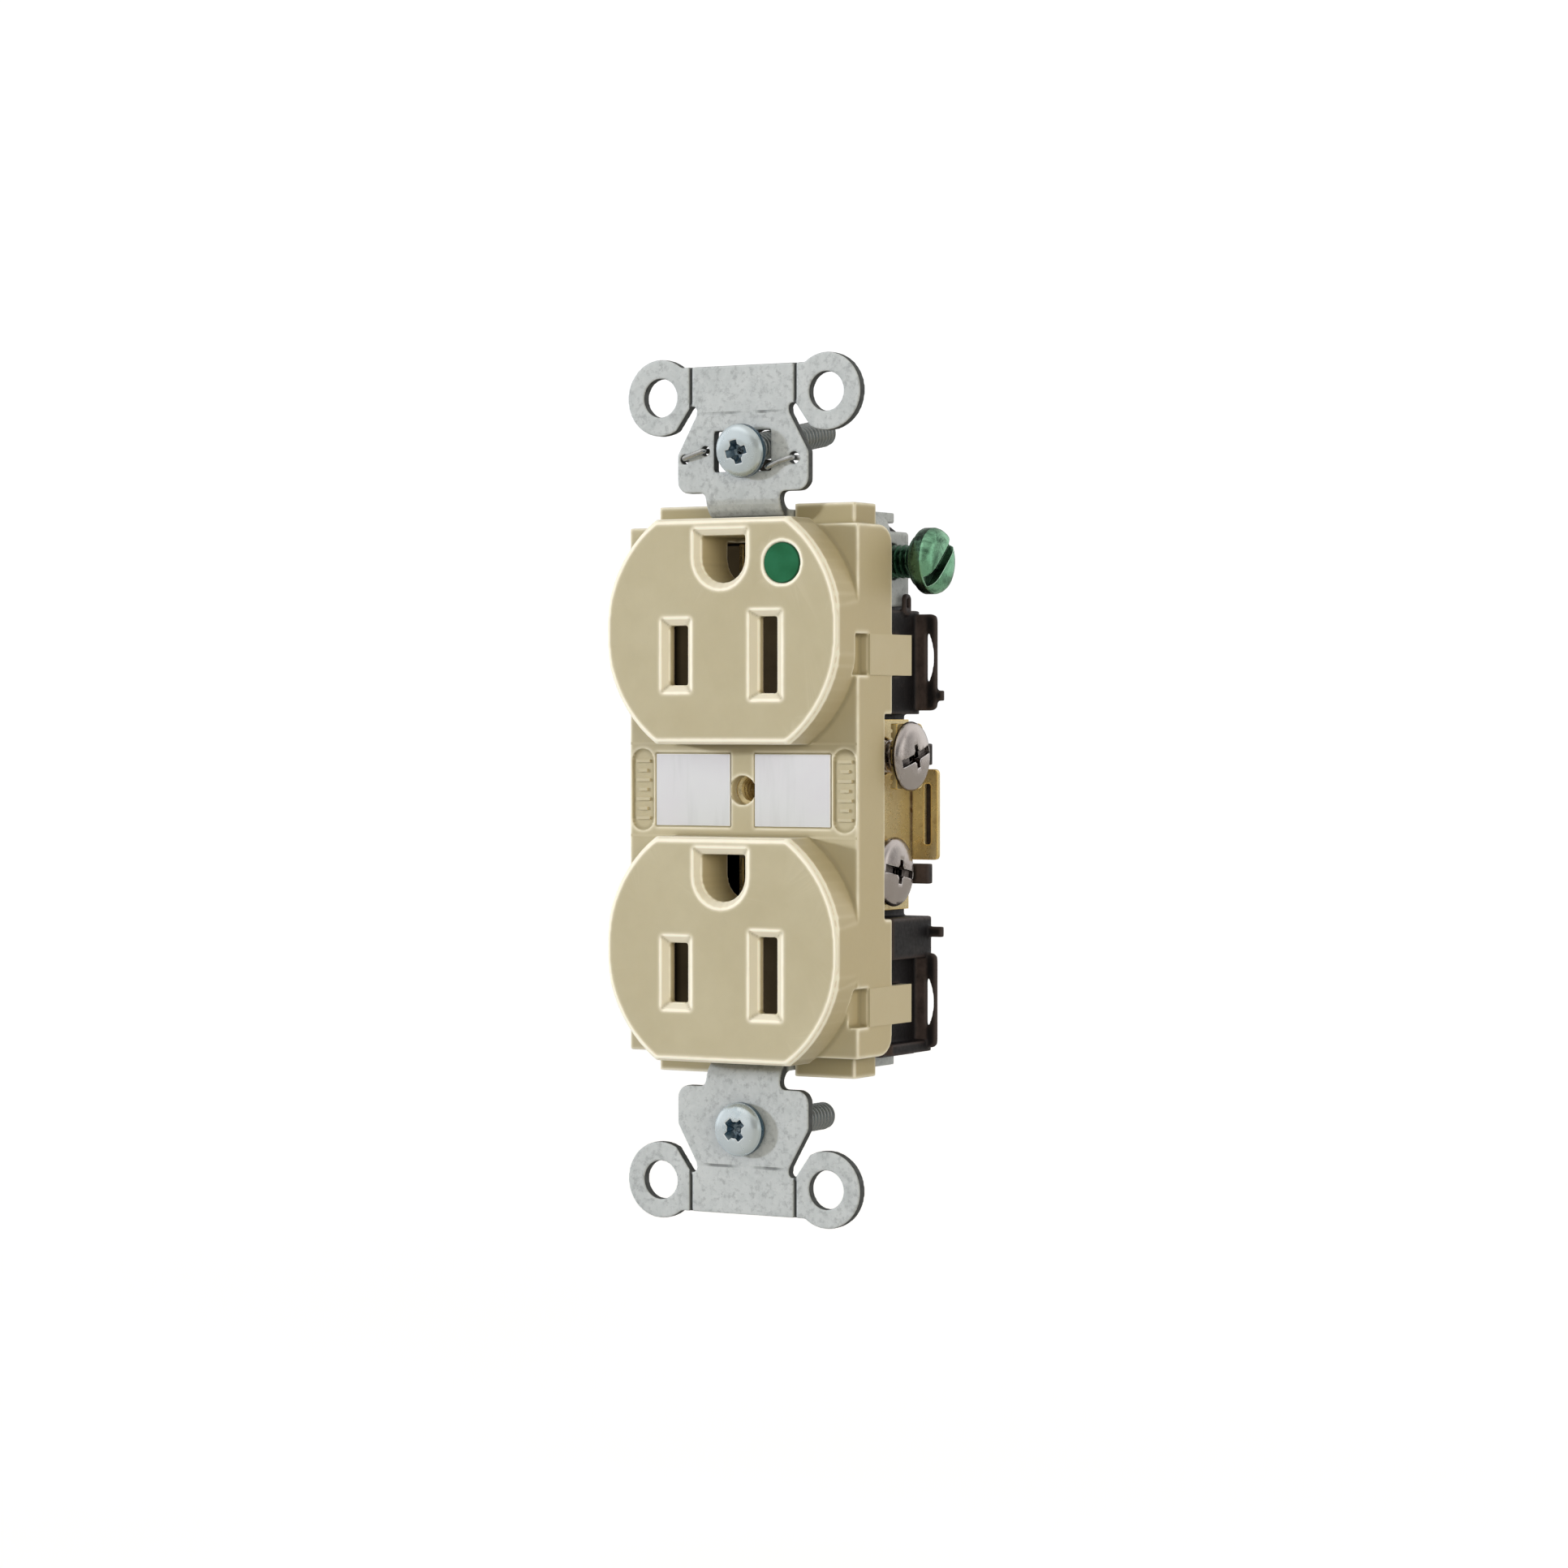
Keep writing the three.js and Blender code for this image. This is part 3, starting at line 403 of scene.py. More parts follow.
# the edge colours are painted highlights; the colours round the head, on the shank and in the hollows are painted
# shade
METALS = {
    "brass": dict(
        tones=(srgb(232, 214, 164), srgb(244, 224, 174)), stain=srgb(182, 150, 102),
        rough=(0.22, 0.38), metallic=0.78, bump=0.12,
        edge=srgb(255, 220, 140), hollow_shade=srgb(92, 62, 34)),
    "spring_wire": dict(
        tones=(srgb(196, 197, 196), srgb(218, 218, 214)), stain=srgb(130, 132, 132),
        rough=(0.22, 0.34)),
    "nickel_screw": dict(
        tones=(srgb(194, 183, 177), srgb(212, 203, 197)), stain=srgb(142, 126, 118),
        rough=(0.16, 0.3), bump=0.08, edge=srgb(240, 234, 230), hollow_shade=srgb(46, 34, 30)),
    "brass_screw": dict(
        tones=(srgb(208, 172, 104), srgb(226, 190, 120)), stain=srgb(176, 136, 80),
        rough=(0.18, 0.3), bump=0.08, edge=srgb(246, 216, 150), hollow_shade=srgb(70, 46, 22)),
    "green_screw": dict(
        tones=(srgb(124, 190, 148), srgb(162, 214, 178)), stain=srgb(22, 62, 40),
        rough=(0.18, 0.34), metallic=0.8, bump=0.4, edge=srgb(196, 240, 210),
        shank=srgb(24, 62, 42), shank_axis=0, shank_span=(0.0186, 0.0182),
        hollow_shade=srgb(10, 24, 17), stain_span=(0.45, 0.62)),
    "blue_zinc_screw": dict(
        tones=(srgb(214, 226, 230), srgb(234, 242, 245)), stain=srgb(186, 204, 212),
        rough=(0.16, 0.3), metallic=0.6, bump=0.12, edge=srgb(244, 249, 250),
        shank=srgb(128, 128, 124), hollow_shade=srgb(70, 100, 120), head_side_shade=srgb(44, 50, 52)),
}
MATERIALS = {
    "ivory_nylon": ivory(),
    "black_nylon": black(),
    "zinc_strap": zinc(),
    "green_dot": dot(),
    "label_foil": foil(),
    **{name: metal(name, **spec) for name, spec in METALS.items()},
    "fibre": fibre(),
}


# ---- mesh kit: a "shape" is a bmesh in millimetres
def from_node(node):
    shape = bmesh.new()
    shape.from_mesh(NODES[node].data)
    shape.transform(Matrix.Scale(PER_METRE, 4))
    bmesh.ops.remove_doubles(shape, verts=shape.verts, dist=1e-3)
    return shape


def mm_box(node):
    low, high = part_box(node)
    return low * PER_METRE, high * PER_METRE


def tidy(shape):
    bmesh.ops.dissolve_degenerate(shape, dist=1e-3, edges=shape.edges)
    bmesh.ops.dissolve_limit(
        shape, angle_limit=math.radians(0.6), verts=shape.verts, edges=shape.edges)
    shape.normal_update()


def face_layer(shape, name):
    layers = shape.faces.layers.float
    return layers.get(name) or layers.new(name)


def soften(shape, offset, segments=2, min_angle=28.0):
    """Rounds the sharp edges; new faces on convex edges get edge = 1."""
    layer = face_layer(shape, "edge")
    limit = math.radians(min_angle)
    sharp = [e for e in shape.edges if e.is_manifold and e.calc_face_angle(0) > limit]
    if not sharp:
        return
    for face in shape.faces:
        face[layer] = 0.0
    new = bmesh.ops.bevel(
        shape, geom=sharp, offset=offset, offset_type="OFFSET", segments=segments,
        profile=0.5, affect="EDGES", clamp_overlap=False, loop_slide=True)
    shape.normal_update()
    for face in new["faces"]:
        bent = [e for e in face.edges if e.is_manifold and e.calc_face_angle(0) > 0.05]
        face[layer] = 1.0 if sum(1 if e.is_convex else -1 for e in bent) > 0 else 0.0


def as_object(shape, name):
    mesh = bpy.data.meshes.new(name)
    shape.to_mesh(mesh)
    shape.free()
    obj = bpy.data.objects.new(name, mesh)
    bpy.context.scene.collection.objects.link(obj)
    return obj


def discard(obj):
    mesh = obj.data
    bpy.data.objects.remove(obj)
    bpy.data.meshes.remove(mesh)


def as_shape(obj):
    """The object's mesh as a shape; the object goes."""
    shape = bmesh.new()
    shape.from_mesh(obj.data)
    discard(obj)
    return shape


def bake(obj):
    """Applies the object's modifiers."""
    graph = bpy.context.evaluated_depsgraph_get()
    result = bpy.data.meshes.new_from_object(obj.evaluated_get(graph))
    obj.modifiers.clear()
    old = obj.data
    obj.data = result
    bpy.data.meshes.remove(old)


def piece(shape, name, node, smooth_angle=40.0, weighted=True):
    """The finished metre object that stands in for a CAD node."""
    shape.normal_update()
    limit = math.radians(smooth_angle)
    for face in shape.faces:
        face.smooth = True
    for edge in shape.edges:
        edge.smooth = not (edge.is_manifold and edge.calc_face_angle(0) > limit)
    shape.transform(Matrix.Scale(MM, 4))
    obj = as_object(shape, name)
    if weighted:
        normals = obj.modifiers.new("normals", "WEIGHTED_NORMAL")
        normals.keep_sharp = True
        normals.weight = 90
    obj.data.materials.append(MATERIALS[SLOT[node]])
    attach(obj, BODY[node])
    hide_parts(node)


def relax(mesh, voxel, rounds):
    """Smooths the mesh, then stores how far it bends out (edge) and in (nook)."""
    full_bend = 0.085  # bend that counts as 1, in voxels
    total = len(mesh.vertices)
    points = np.empty(total * 3)
    ends = np.empty(len(mesh.edges) * 2, dtype=np.int32)
    mesh.vertices.foreach_get("co", points)
    mesh.edges.foreach_get("vertices", ends)
    points = points.reshape(-1, 3)
    start, end = ends[0::2], ends[1::2]
    count = np.maximum(np.bincount(ends, minlength=total), 1)

    def around(values):
        """The mean over each vertex's neighbours."""
        if values.ndim == 1:
            sums = np.bincount(start, values[end], total) + np.bincount(end, values[start], total)
            return sums / count
        return np.stack([around(values[:, k]) for k in range(3)], axis=1)

    for _ in range(rounds):
        points += 0.5 * (around(points) - points)
    mesh.vertices.foreach_set("co", points.ravel())
    mesh.update()
    normals = np.empty(total * 3)
    mesh.vertices.foreach_get("normal", normals)
    bend = ((points - around(points)) * normals.reshape(-1, 3)).sum(1) / voxel
    for _ in range(2):
        bend = 0.5 * (bend + around(bend))
    for name, sign in (("edge", 1), ("nook", -1)):
        values = np.clip(sign * bend / full_bend, 0, 1).astype(np.float32)
        mesh.attributes.new(name, "FLOAT", "POINT").data.foreach_set("value", values)


def moulded(shape, name, node, voxel, rounds, keep=190000, extra=None, wells=()):
    """A fine skin over the solid with evenly rounded edges, thinned to `keep` triangles.

    `extra` is joined unskinned; `wells` are (x0, x1, z0, z1, y), marked for painted shade behind that Y.
    """
    obj = as_object(shape, "raw")
    skin = obj.modifiers.new("skin", "REMESH")
    skin.mode = "VOXEL"
    skin.voxel_size = voxel
    skin.adaptivity = 0.0
    bake(obj)
    relax(obj.data, voxel, rounds)
    triangles = 2 * len(obj.data.polygons)
    if triangles > keep:
        obj.modifiers.new("thin", "DECIMATE").ratio = keep / float(triangles)
        bake(obj)
    shape = as_shape(obj)
    if wells:
        layer = shape.verts.layers.float.new("well")
        for vert in shape.verts:
            x, y, z = vert.co
            inside = any(
                x0 < x < x1 and z0 < z < z1 and y > front for x0, x1, z0, z1, front in wells)
            vert[layer] = 1.0 if inside else 0.0
    if extra is not None:
        join(shape, extra)
    piece(shape, name, node, smooth_angle=62, weighted=False)


def subtract(shape, cutters):
    body = as_object(shape, "body")
    for cutter in cutters:
        tool = as_object(cutter, "cutter")
        cut = body.modifiers.new("cut", "BOOLEAN")
        cut.operation = "DIFFERENCE"
        cut.object = tool
        cut.solver = "EXACT"
        bake(body)
        discard(tool)
    shape = as_shape(body)
    bmesh.ops.remove_doubles(shape, verts=shape.verts, dist=1e-4)
    return shape


def join(shape, other):
    mesh = bpy.data.meshes.new("tmp")
    other.to_mesh(mesh)
    other.free()
    shape.from_mesh(mesh)
    bpy.data.meshes.remove(mesh)
    return shape


def box(corner, opposite):
    """A box between two opposite corners, given in any order."""
    (x0, x1), (y0, y1), (z0, z1) = map(sorted, zip(corner, opposite))
    shape = bmesh.new()
    outline = ((x0, y0), (x1, y0), (x1, y1), (x0, y1))
    verts = [shape.verts.new((x, y, z)) for z in (z0, z1) for x, y in outline]
    for face in ((3, 2, 1, 0), (4, 5, 6, 7), (0, 1, 5, 4),
                 (1, 2, 6, 5), (2, 3, 7, 6), (3, 0, 4, 7)):
        shape.faces.new([verts[i] for i in face])
    return shape


def polar(radius, i, sides):
    angle = 2 * math.pi * i / sides
    return radius * math.cos(angle), radius * math.sin(angle)


def bridge(shape, rings):
    """Quads between each ring of vertices and the next."""
    for first, second in zip(rings, rings[1:]):
        for i in range(len(first)):
            j = (i + 1) % len(first)
            shape.faces.new((first[i], second[i], second[j], first[j]))


def face_outward(shape):
    bmesh.ops.recalc_face_normals(shape, faces=shape.faces)
    return shape


def lathe(profile, sides):
    """Turns (radius, height) points about Z, from the axis at the top to the axis below."""
    shape = bmesh.new()
    top, *rings, bottom = [
        [shape.verts.new((*polar(radius, i, sides), height))
         for i in range(sides if radius > 0 else 1)]
        for radius, height in profile
    ]
    first, last = rings[0], rings[-1]
    for i in range(sides):
        shape.faces.new((top[0], first[i], first[(i + 1) % sides]))
    bridge(shape, rings)
    for i in range(sides):
        shape.faces.new((last[i], bottom[0], last[(i + 1) % sides]))
    return face_outward(shape)


def spin(shape, degrees):
    turn = Matrix.Rotation(math.radians(degrees), 3, "Z")
    bmesh.ops.rotate(shape, verts=shape.verts, cent=(0, 0, 0), matrix=turn)
    return shape


def place(shape, origin, axis):
    """Moves the origin, turning local Z to the axis and keeping local Y toward world Z."""
    z = Vector(axis).normalized()
    x = Vector((0, 0, 1)).cross(z).normalized()
    matrix = Matrix((x, z.cross(x), z)).transposed().to_4x4()
    matrix.translation = Vector(origin)
    shape.transform(matrix)
    return shape


# ---- housing
def ivory_cover():
    finger_side, flush_side = 16.28, 16.3  # X beyond which points are drawn flush, and to where
    line_height = 5.72  # fine lines, above and below the middle
    tick_x, tick_pitch = 14.4, 1.18
    recess_floor = STRAP_FRONT + 0.3
    pads = ((16.6, 2.5), (-26.35, 2.35))  # height from the middle, half height
    face_height = 19.45  # each face's centre from the middle
    slot_x, slot_half_width, slot_drop, slot_half_height = 6.35, 1.7, 2.92, 5.4
    dark_behind = -4.9

    cover = from_node("face_cover")
    for vert in cover.verts:  # the latch fingers are flush with the housing's sides
        if abs(vert.co.x) > finger_side:
            vert.co.x = math.copysign(flush_side, vert.co.x)
    bmesh.ops.remove_doubles(cover, verts=cover.verts, dist=2e-3)

    bars = bmesh.new()

    def add_bar(corner, opposite, rounding):
        bar = box(corner, opposite)
        soften(bar, rounding)
        join(bars, bar)

    for side in (-1, 1):
        for end in (-1, 1):  # fine moulded line from each face's corner to the side
            z = MIDDLE_Z + end * line_height
            add_bar((side * 9.2, STRAP_FRONT - 0.07, z - 0.16),
                    (side * 16.12, STRAP_FRONT + 0.3, z + 0.16), 0.05)
        for k in range(7):  # tick bars in the recess at each side, long and short in turn
            half = 0.98 if k % 2 == 0 else 0.6
            z = MIDDLE_Z + (k - 3) * tick_pitch
            add_bar((side * tick_x - half, recess_floor - 0.26, z - 0.19),
                    (side * tick_x + half, recess_floor + 0.3, z + 0.19), 0.06)
    for side in (-1, 1):
        for height, half in pads:  # latch finger pads, a little proud of the sides
            z = MIDDLE_Z + height
            add_bar((side * 16.1, 1.4, z - half), (side * 16.46, 11.95, z + half), 0.08)
    # the bars' face mask gives way to a faint vertex mask like the skin's, giving the bars a faint painted
    # highlight
    bars.faces.layers.float.remove(bars.faces.layers.float["edge"])
    layer = bars.verts.layers.float.new("edge")
    for vert in bars.verts:
        vert[layer] = 0.12

    # slot openings, marked for painted shade on the surfaces behind dark_behind
    wells = []
    for end in (-1, 1):
        z = MIDDLE_Z + end * face_height - slot_drop
        for side in (-1, 1):
            x = side * slot_x
            wells.append((x - slot_half_width, x + slot_half_width,
                          z - slot_half_height, z + slot_half_height, dark_behind))
    moulded(cover, "ivory_face_cover", "face_cover", voxel=0.16, rounds=3,
            extra=bars, wells=wells)


# ---- plain CAD pieces with rounded edges: node, name, rounding in mm, segments
ROUNDED = (
    ("ground_contact_upper", "upper_ground_contact_leaf", 0.1, 2),
    ("ground_contact_lower", "lower_ground_contact_leaf", 0.1, 2),
    ("label_plate_left", "left_blank_label", 0.07, 2),
    ("label_plate_right", "right_blank_label", 0.07, 2),
    ("hospital_grade_dot", "green_inlay_dot", 0.12, 3),
    ("retaining_washer_upper", "upper_screw_retainer", 0.12, 2),
    ("retaining_washer_lower", "lower_screw_retainer", 0.12, 2),
    ("ground_screw_washer", "ground_terminal_washer", 0.1, 2),
    ("ground_rivet_upper", "upper_ground_rivet", 0.1, 2),
    ("ground_rivet_lower", "lower_ground_rivet", 0.1, 2),
)
# skinned CAD pieces: node, name, voxel in mm, smoothing rounds, most triangles
SKINNED = (
    ("rear_base", "black_rear_base", 0.17, 3, 190000),
    ("mounting_strap", "plated_mounting_strap", 0.14, 4, 190000),
    ("neutral_terminal_bus", "neutral_terminal_stamping", 0.1, 2, 120000),
    ("hot_terminal_bus", "hot_terminal_stamping", 0.1, 2, 120000),
)


def cad_pieces():
    for node, name, rounding, segments in ROUNDED:
        shape = from_node(node)
        tidy(shape)
        soften(shape, rounding, segments)
        piece(shape, name, node)
    for node, name, voxel, rounds, keep in SKINNED:
        moulded(from_node(node), name, node, voxel, rounds, keep)


def wire_clamp(side, sign, level):
    """Square plate with grip grooves across its inner face, relieved at the front edge."""
    groove_pitch, groove_depth, groove_half = 1.05, 0.22, 0.2
    relief = 0.75
    node = f"{side}_clamp_plate_{level}"
    low, high = mm_box(node)
    inner = low.x if sign > 0 else high.x
    cutters = []
    for i in (-3, -2, -1, 1, 2, 3):
        z = (low.z + high.z) / 2 + i * groove_pitch
        cutters.append(box((inner - sign * 0.5, low.y - 1, z - groove_half),
                           (inner + sign * groove_depth, high.y + 1, z + groove_half)))
    cutters.append(box((low.x - 1, low.y - 1, low.z - 1),
                       (high.x + 1, low.y + relief, high.z + 1)))
    shape = from_node(node)
    tidy(shape)
    shape = subtract(shape, cutters)
    tidy(shape)
    soften(shape, 0.08)
    piece(shape, f"{side}_{level}_wire_clamp", node)


# ---- screws, built about Z with the head's underside at 0
def thread_form(phase):
    """0 at the root, 1 at the crest."""
    phase = phase % 1.0
    rise = min(phase, 1 - phase) * 2
    return min(1.0, max(0.0, (rise - 0.12) / 0.68))


def threaded(radius, core, bottom):
    """Threaded shank from inside the head down to `bottom`, with a tapered tip."""
    top, sides = 0.3, 40
    plain, taper = 0.35, 0.9  # lengths under the head and at the tip
    depth = radius - core
    shape = bmesh.new()
    steps = max(4, int(round((top - bottom) / THREAD_PITCH * THREAD_ROWS)))
    rings = []
    for k in range(steps + 1):
        height = top + (bottom - top) * k / steps
        run = min(1.0, max(0.0, (top - height - plain) / (1.2 * THREAD_PITCH)))
        left = height - bottom
        ring = []
        for i in range(sides):
            form = thread_form(height / THREAD_PITCH - i / sides)
            reach = core + depth * form * run + depth * 0.5 * (1 - run)
            if left < taper:
                reach = min(reach, core - 0.25 + left * (depth + 0.35) / taper)
            ring.append(shape.verts.new((*polar(reach, i, sides), height)))
        rings.append(ring)
    bridge(shape, rings)
    for ring, height in ((rings[0], top), (rings[-1], bottom)):
        centre = shape.verts.new((0, 0, height))
        for i in range(sides):
            shape.faces.new((ring[i], ring[(i + 1) % sides], centre))
    return face_outward(shape)


def cross_cut(top, depth, reach, width, turn):
    """Cutters for a cross recess: two wings narrowing downward and a middle cone."""
    cutters = []
    for angle in (0.0, 90.0):
        wing = box((-reach, -width / 2, 0), (reach, width / 2, depth + 0.6))
        for vert in wing.verts:
            if vert.co.z < 0.1:
                vert.co.x *= 0.42
                vert.co.y *= 0.72
        bmesh.ops.translate(wing, verts=wing.verts, vec=(0, 0, top - depth))
        cutters.append(spin(wing, angle + turn))
    cone = (  # radius, height
        (0, top + 0.5), (width * 0.98, top + 0.5), (width * 0.9, top - depth * 0.35),
        (width * 0.3, top - depth * 1.12), (0, top - depth * 1.2),
    )
    return cutters + [lathe(cone, 24)]


def slot_cut(top, depth, half, width, turn):
    return spin(box((-half, -width / 2, top - depth), (half, width / 2, top + 1.0)), turn)


def screw(top, crown, skirt, cutters, radius, core, tip):
    """Head and threaded shank; the recess and the thread roots get nook > 0.

    crown: (radius, drop below the top); skirt: (inset from the rim, height).
    """
    rim_radius = crown[-1][0]
    profile = [(reach, top - drop) for reach, drop in crown]
    profile += [(rim_radius - inset, height) for inset, height in skirt] + [(0, 0.0)]
    shape = subtract(lathe(profile, 72), cutters)
    bmesh.ops.dissolve_limit(
        shape, angle_limit=math.radians(0.3), verts=shape.verts, edges=shape.edges)
    soften(shape, 0.07, min_angle=42)
    layer = face_layer(shape, "nook")
    dome = [point for point in profile if point[1] >= top - 1.4]
    for face in shape.faces:  # faces well below the domed top are inside the recess
        centre = face.calc_center_median()
        reach = math.hypot(centre.x, centre.y)
        level = next((h0 + (h1 - h0) * (reach - r0) / max(r1 - r0, 1e-6)
                      for (r0, h0), (r1, h1) in zip(dome, dome[1:]) if r0 <= reach <= r1), None)
        sunk = level is not None and centre.z < level - 0.13 and centre.z > 0.05
        face[layer] = 1.0 if sunk else 0.0

    join(shape, threaded(radius, core, tip))
    layer = face_layer(shape, "nook")
    depth = radius - core
    for face in shape.faces:
        centre = face.calc_center_median()
        reach = math.hypot(centre.x, centre.y)
        if centre.z < 0.1 and reach < radius + 0.05:
            root = (core + 0.75 * depth - reach) / (0.6 * depth)
            face[layer] = 0.8 * min(1.0, max(0.0, root))
    return shape


TERMINAL_THREAD = dict(radius=2.08, core=1.62)
MOUNTING_THREAD = dict(radius=1.74, core=1.33)


def terminal_screw(side, sign, level, turn):
    node = f"{side}_screw_{level}"
    low, high = mm_box(node)
    top, tip = (high.x, low.x) if sign > 0 else (-low.x, -high.x)
    height = 1.42
    seat = top - height
    shape = screw(
        height,
        crown=((0, 0), (1.2, 0.005), (2.2, 0.05), (3.0, 0.14), (3.6, 0.3), (4.0, 0.5),
               (4.22, 0.76), (4.3, 1.0)),
        skirt=((0.02, 0.24), (0.14, 0.07), (0.4, 0.0)),
        cutters=[slot_cut(height, depth=0.62, half=3.5, width=0.95, turn=turn)]
        + cross_cut(height, depth=1.05, reach=1.95, width=0.95, turn=turn),
        tip=tip - seat, **TERMINAL_THREAD)
    place(shape, (sign * seat, (low.y + high.y) / 2, (low.z + high.z) / 2), (sign, 0, 0))
    piece(shape, f"{side}_{level}_terminal_screw", node, 50)


def ground_screw():
    low, high = mm_box("ground_screw")
    height = 2.8
    seat = high.x - height
    shape = screw(
        height,
        crown=((0, 0), (1.6, 0.01), (2.6, 0.07), (3.2, 0.22), (3.66, 0.5), (3.95, 0.9),
               (4.1, 1.35)),
        skirt=((0, 0.32), (0.1, 0.1), (0.4, 0.0)),
        cutters=[slot_cut(height, depth=1.15, half=5.0, width=1.5, turn=42.0)],
        tip=low.x - seat, **TERMINAL_THREAD)
    place(shape, (seat, (low.y + high.y) / 2, (low.z + high.z) / 2), (1, 0, 0))
    piece(shape, "green_ground_terminal_screw", "ground_screw", 50)


def mounting_screw(level, turn):
    node = f"mounting_screw_{level}"
    joint = next(j for j in frame["joints"] if j["name"] == f"{level}_mounting_screw_turn")
    axis = Vector(joint["axis"])
    origin = Vector(joint["pos_m"]) * PER_METRE
    along = [(v.co * PER_METRE - origin).dot(axis) for v in NODES[node].data.vertices]
    height = 2.07
    seat = max(along) - height
    shape = screw(
        height,
        crown=((0, 0), (0.8, 0.02), (1.7, 0.1), (2.4, 0.26), (2.86, 0.48), (3.16, 0.8),
               (3.3, 1.12)),
        skirt=((0, 0.22), (0.1, 0.06), (0.3, 0.0)),
        cutters=cross_cut(height, depth=1.25, reach=1.9, width=1.1, turn=turn),
        tip=min(along) - seat, **MOUNTING_THREAD)
    place(shape, origin + axis * seat, axis)
    piece(shape, f"{level}_device_mounting_screw", node, 50)


# ---- centre post and self-grounding wire
def center_post():
    """Hollow post along Y: grooved near its back end, threaded inside."""
    sides = 48
    crest, thread_depth = 1.36, 0.3  # the bore's thread
    low, high = mm_box("center_post")
    front, back = low.y, high.y
    groove_front, groove_back = back - 2.05, back - 0.5
    outer = (  # radius, y
        (2.32, front), (2.5, front + 0.18), (2.5, groove_front - 0.1), (2.4, groove_front),
        (1.9, groove_front), (1.9, groove_back), (2.5, groove_back), (2.6, groove_back + 0.1),
        (2.42, back - 0.08), (2.3, back), (1.75, back),
    )
    rings = [([radius] * sides, y) for radius, y in outer]
    rows = int((back - front) / THREAD_PITCH * THREAD_ROWS)
    for row in range(rows + 1):
        y = back - 0.1 - (back - front - 0.2) * row / rows
        radii = [1.66] * sides
        if 0 < row < rows:
            radii = [crest + thread_depth * (1 - thread_form(y / THREAD_PITCH - i / sides))
                     for i in range(sides)]
        rings.append((radii, y))
    rings.append(([1.8] * sides, front))

    shape = bmesh.new()
    loops = []
    for radii, y in rings:
        flat = [polar(radius, i, sides) for i, radius in enumerate(radii)]
        loops.append([shape.verts.new((x, y, z + MIDDLE_Z)) for x, z in flat])
    bridge(shape, loops + loops[:1])
    piece(face_outward(shape), "threaded_center_post", "center_post", 50)


WIRE = (  # x, depth behind the strap's front, height above the middle
    (-8.3, 2.3, 40.85), (-8.3, 0.6, 40.85), (-8.05, -0.35, 40.95), (-7.2, -0.5, 41.22),
    (-6.2, -0.5, 41.52), (-5.55, -0.3, 41.74), (-5.35, 0.6, 41.8), (-5.35, 1.7, 41.75),
    (-5.3, 2.0, 40.9), (-5.0, 2.0, 39.3), (-4.0, 2.0, 38.55), (-1.0, 2.0, 38.4),
    (2.0, 2.0, 38.45), (3.0, 2.0, 38.7), (3.35, 1.8, 39.3), (3.62, 1.2, 39.54),
    (3.68, 0.1, 39.52), (3.72, -0.25, 39.55), (4.1, -0.52, 39.66), (5.2, -0.5, 40.08),
    (6.6, -0.5, 40.45), (7.2, -0.3, 40.6), (7.3, 0.5, 40.62), (7.3, 2.3, 40.62),
)


def catmull(points, steps=9):
    """Centripetal Catmull-Rom curve through the points."""
    knots = [Vector(point) for point in points]
    knots = [knots[0] * 2 - knots[1]] + knots + [knots[-1] * 2 - knots[-2]]
    curve = []
    for i in range(1, len(knots) - 2):
        near = knots[i - 1 : i + 3]
        times = [0.0]
        for first, second in zip(near, near[1:]):
            times.append(times[-1] + max((second - first).length ** 0.5, 1e-4))
        for k in range(steps):
            time = times[1] + (times[2] - times[1]) * k / steps

            def blend(first, second, a, b):
                span = times[b] - times[a]
                return first * ((times[b] - time) / span) + second * ((time - times[a]) / span)

            low, mid, high = [blend(near[j], near[j + 1], j, j + 1) for j in range(3)]
            curve.append(blend(blend(low, mid, 0, 2), blend(mid, high, 1, 3), 1, 2))
    curve.append(knots[-2])
    return curve


def grounding_wire():
    sides, radius, end_radius = 14, 0.33, 0.27
    path = catmull([(x, depth + STRAP_FRONT, z + MIDDLE_Z) for x, depth, z in WIRE])
    last = len(path) - 1
    shape = bmesh.new()
    side = None
    rings = []
    for i, point in enumerate(path):
        tangent = (path[min(i + 1, last)] - path[max(i - 1, 0)]).normalized()
        if side is None:
            side = tangent.orthogonal().normalized()
        else:
            side = (side - tangent * side.dot(tangent)).normalized()
        other = tangent.cross(side)
        reach = radius if 0 < i < last else end_radius
        turns = [polar(1, k, sides) for k in range(sides)]
        rings.append([shape.verts.new(point + (side * u + other * v) * reach) for u, v in turns])
    bridge(shape, rings)
    shape.faces.new(rings[0])
    shape.faces.new(rings[-1])
    piece(face_outward(shape), "self_grounding_wire", "ground_wire_clip", 50)


# ---- build the pieces
ivory_cover()
cad_pieces()
for side, sign in SIDES:
    for level in ("upper", "lower"):
        wire_clamp(side, sign, level)
for side, sign in SIDES:
    for level, turn in (("upper", 16.0), ("lower", -9.0)):
        terminal_screw(side, sign, level, turn)
ground_screw()
for level, turn in (("upper", 12.0), ("lower", 40.0)):
    mounting_screw(level, turn)
center_post()
grounding_wire()

# any CAD node still shown takes its material too
for name, obj in NODES.items():
    obj.data.materials.clear()
    obj.data.materials.append(MATERIALS[SLOT[name]])


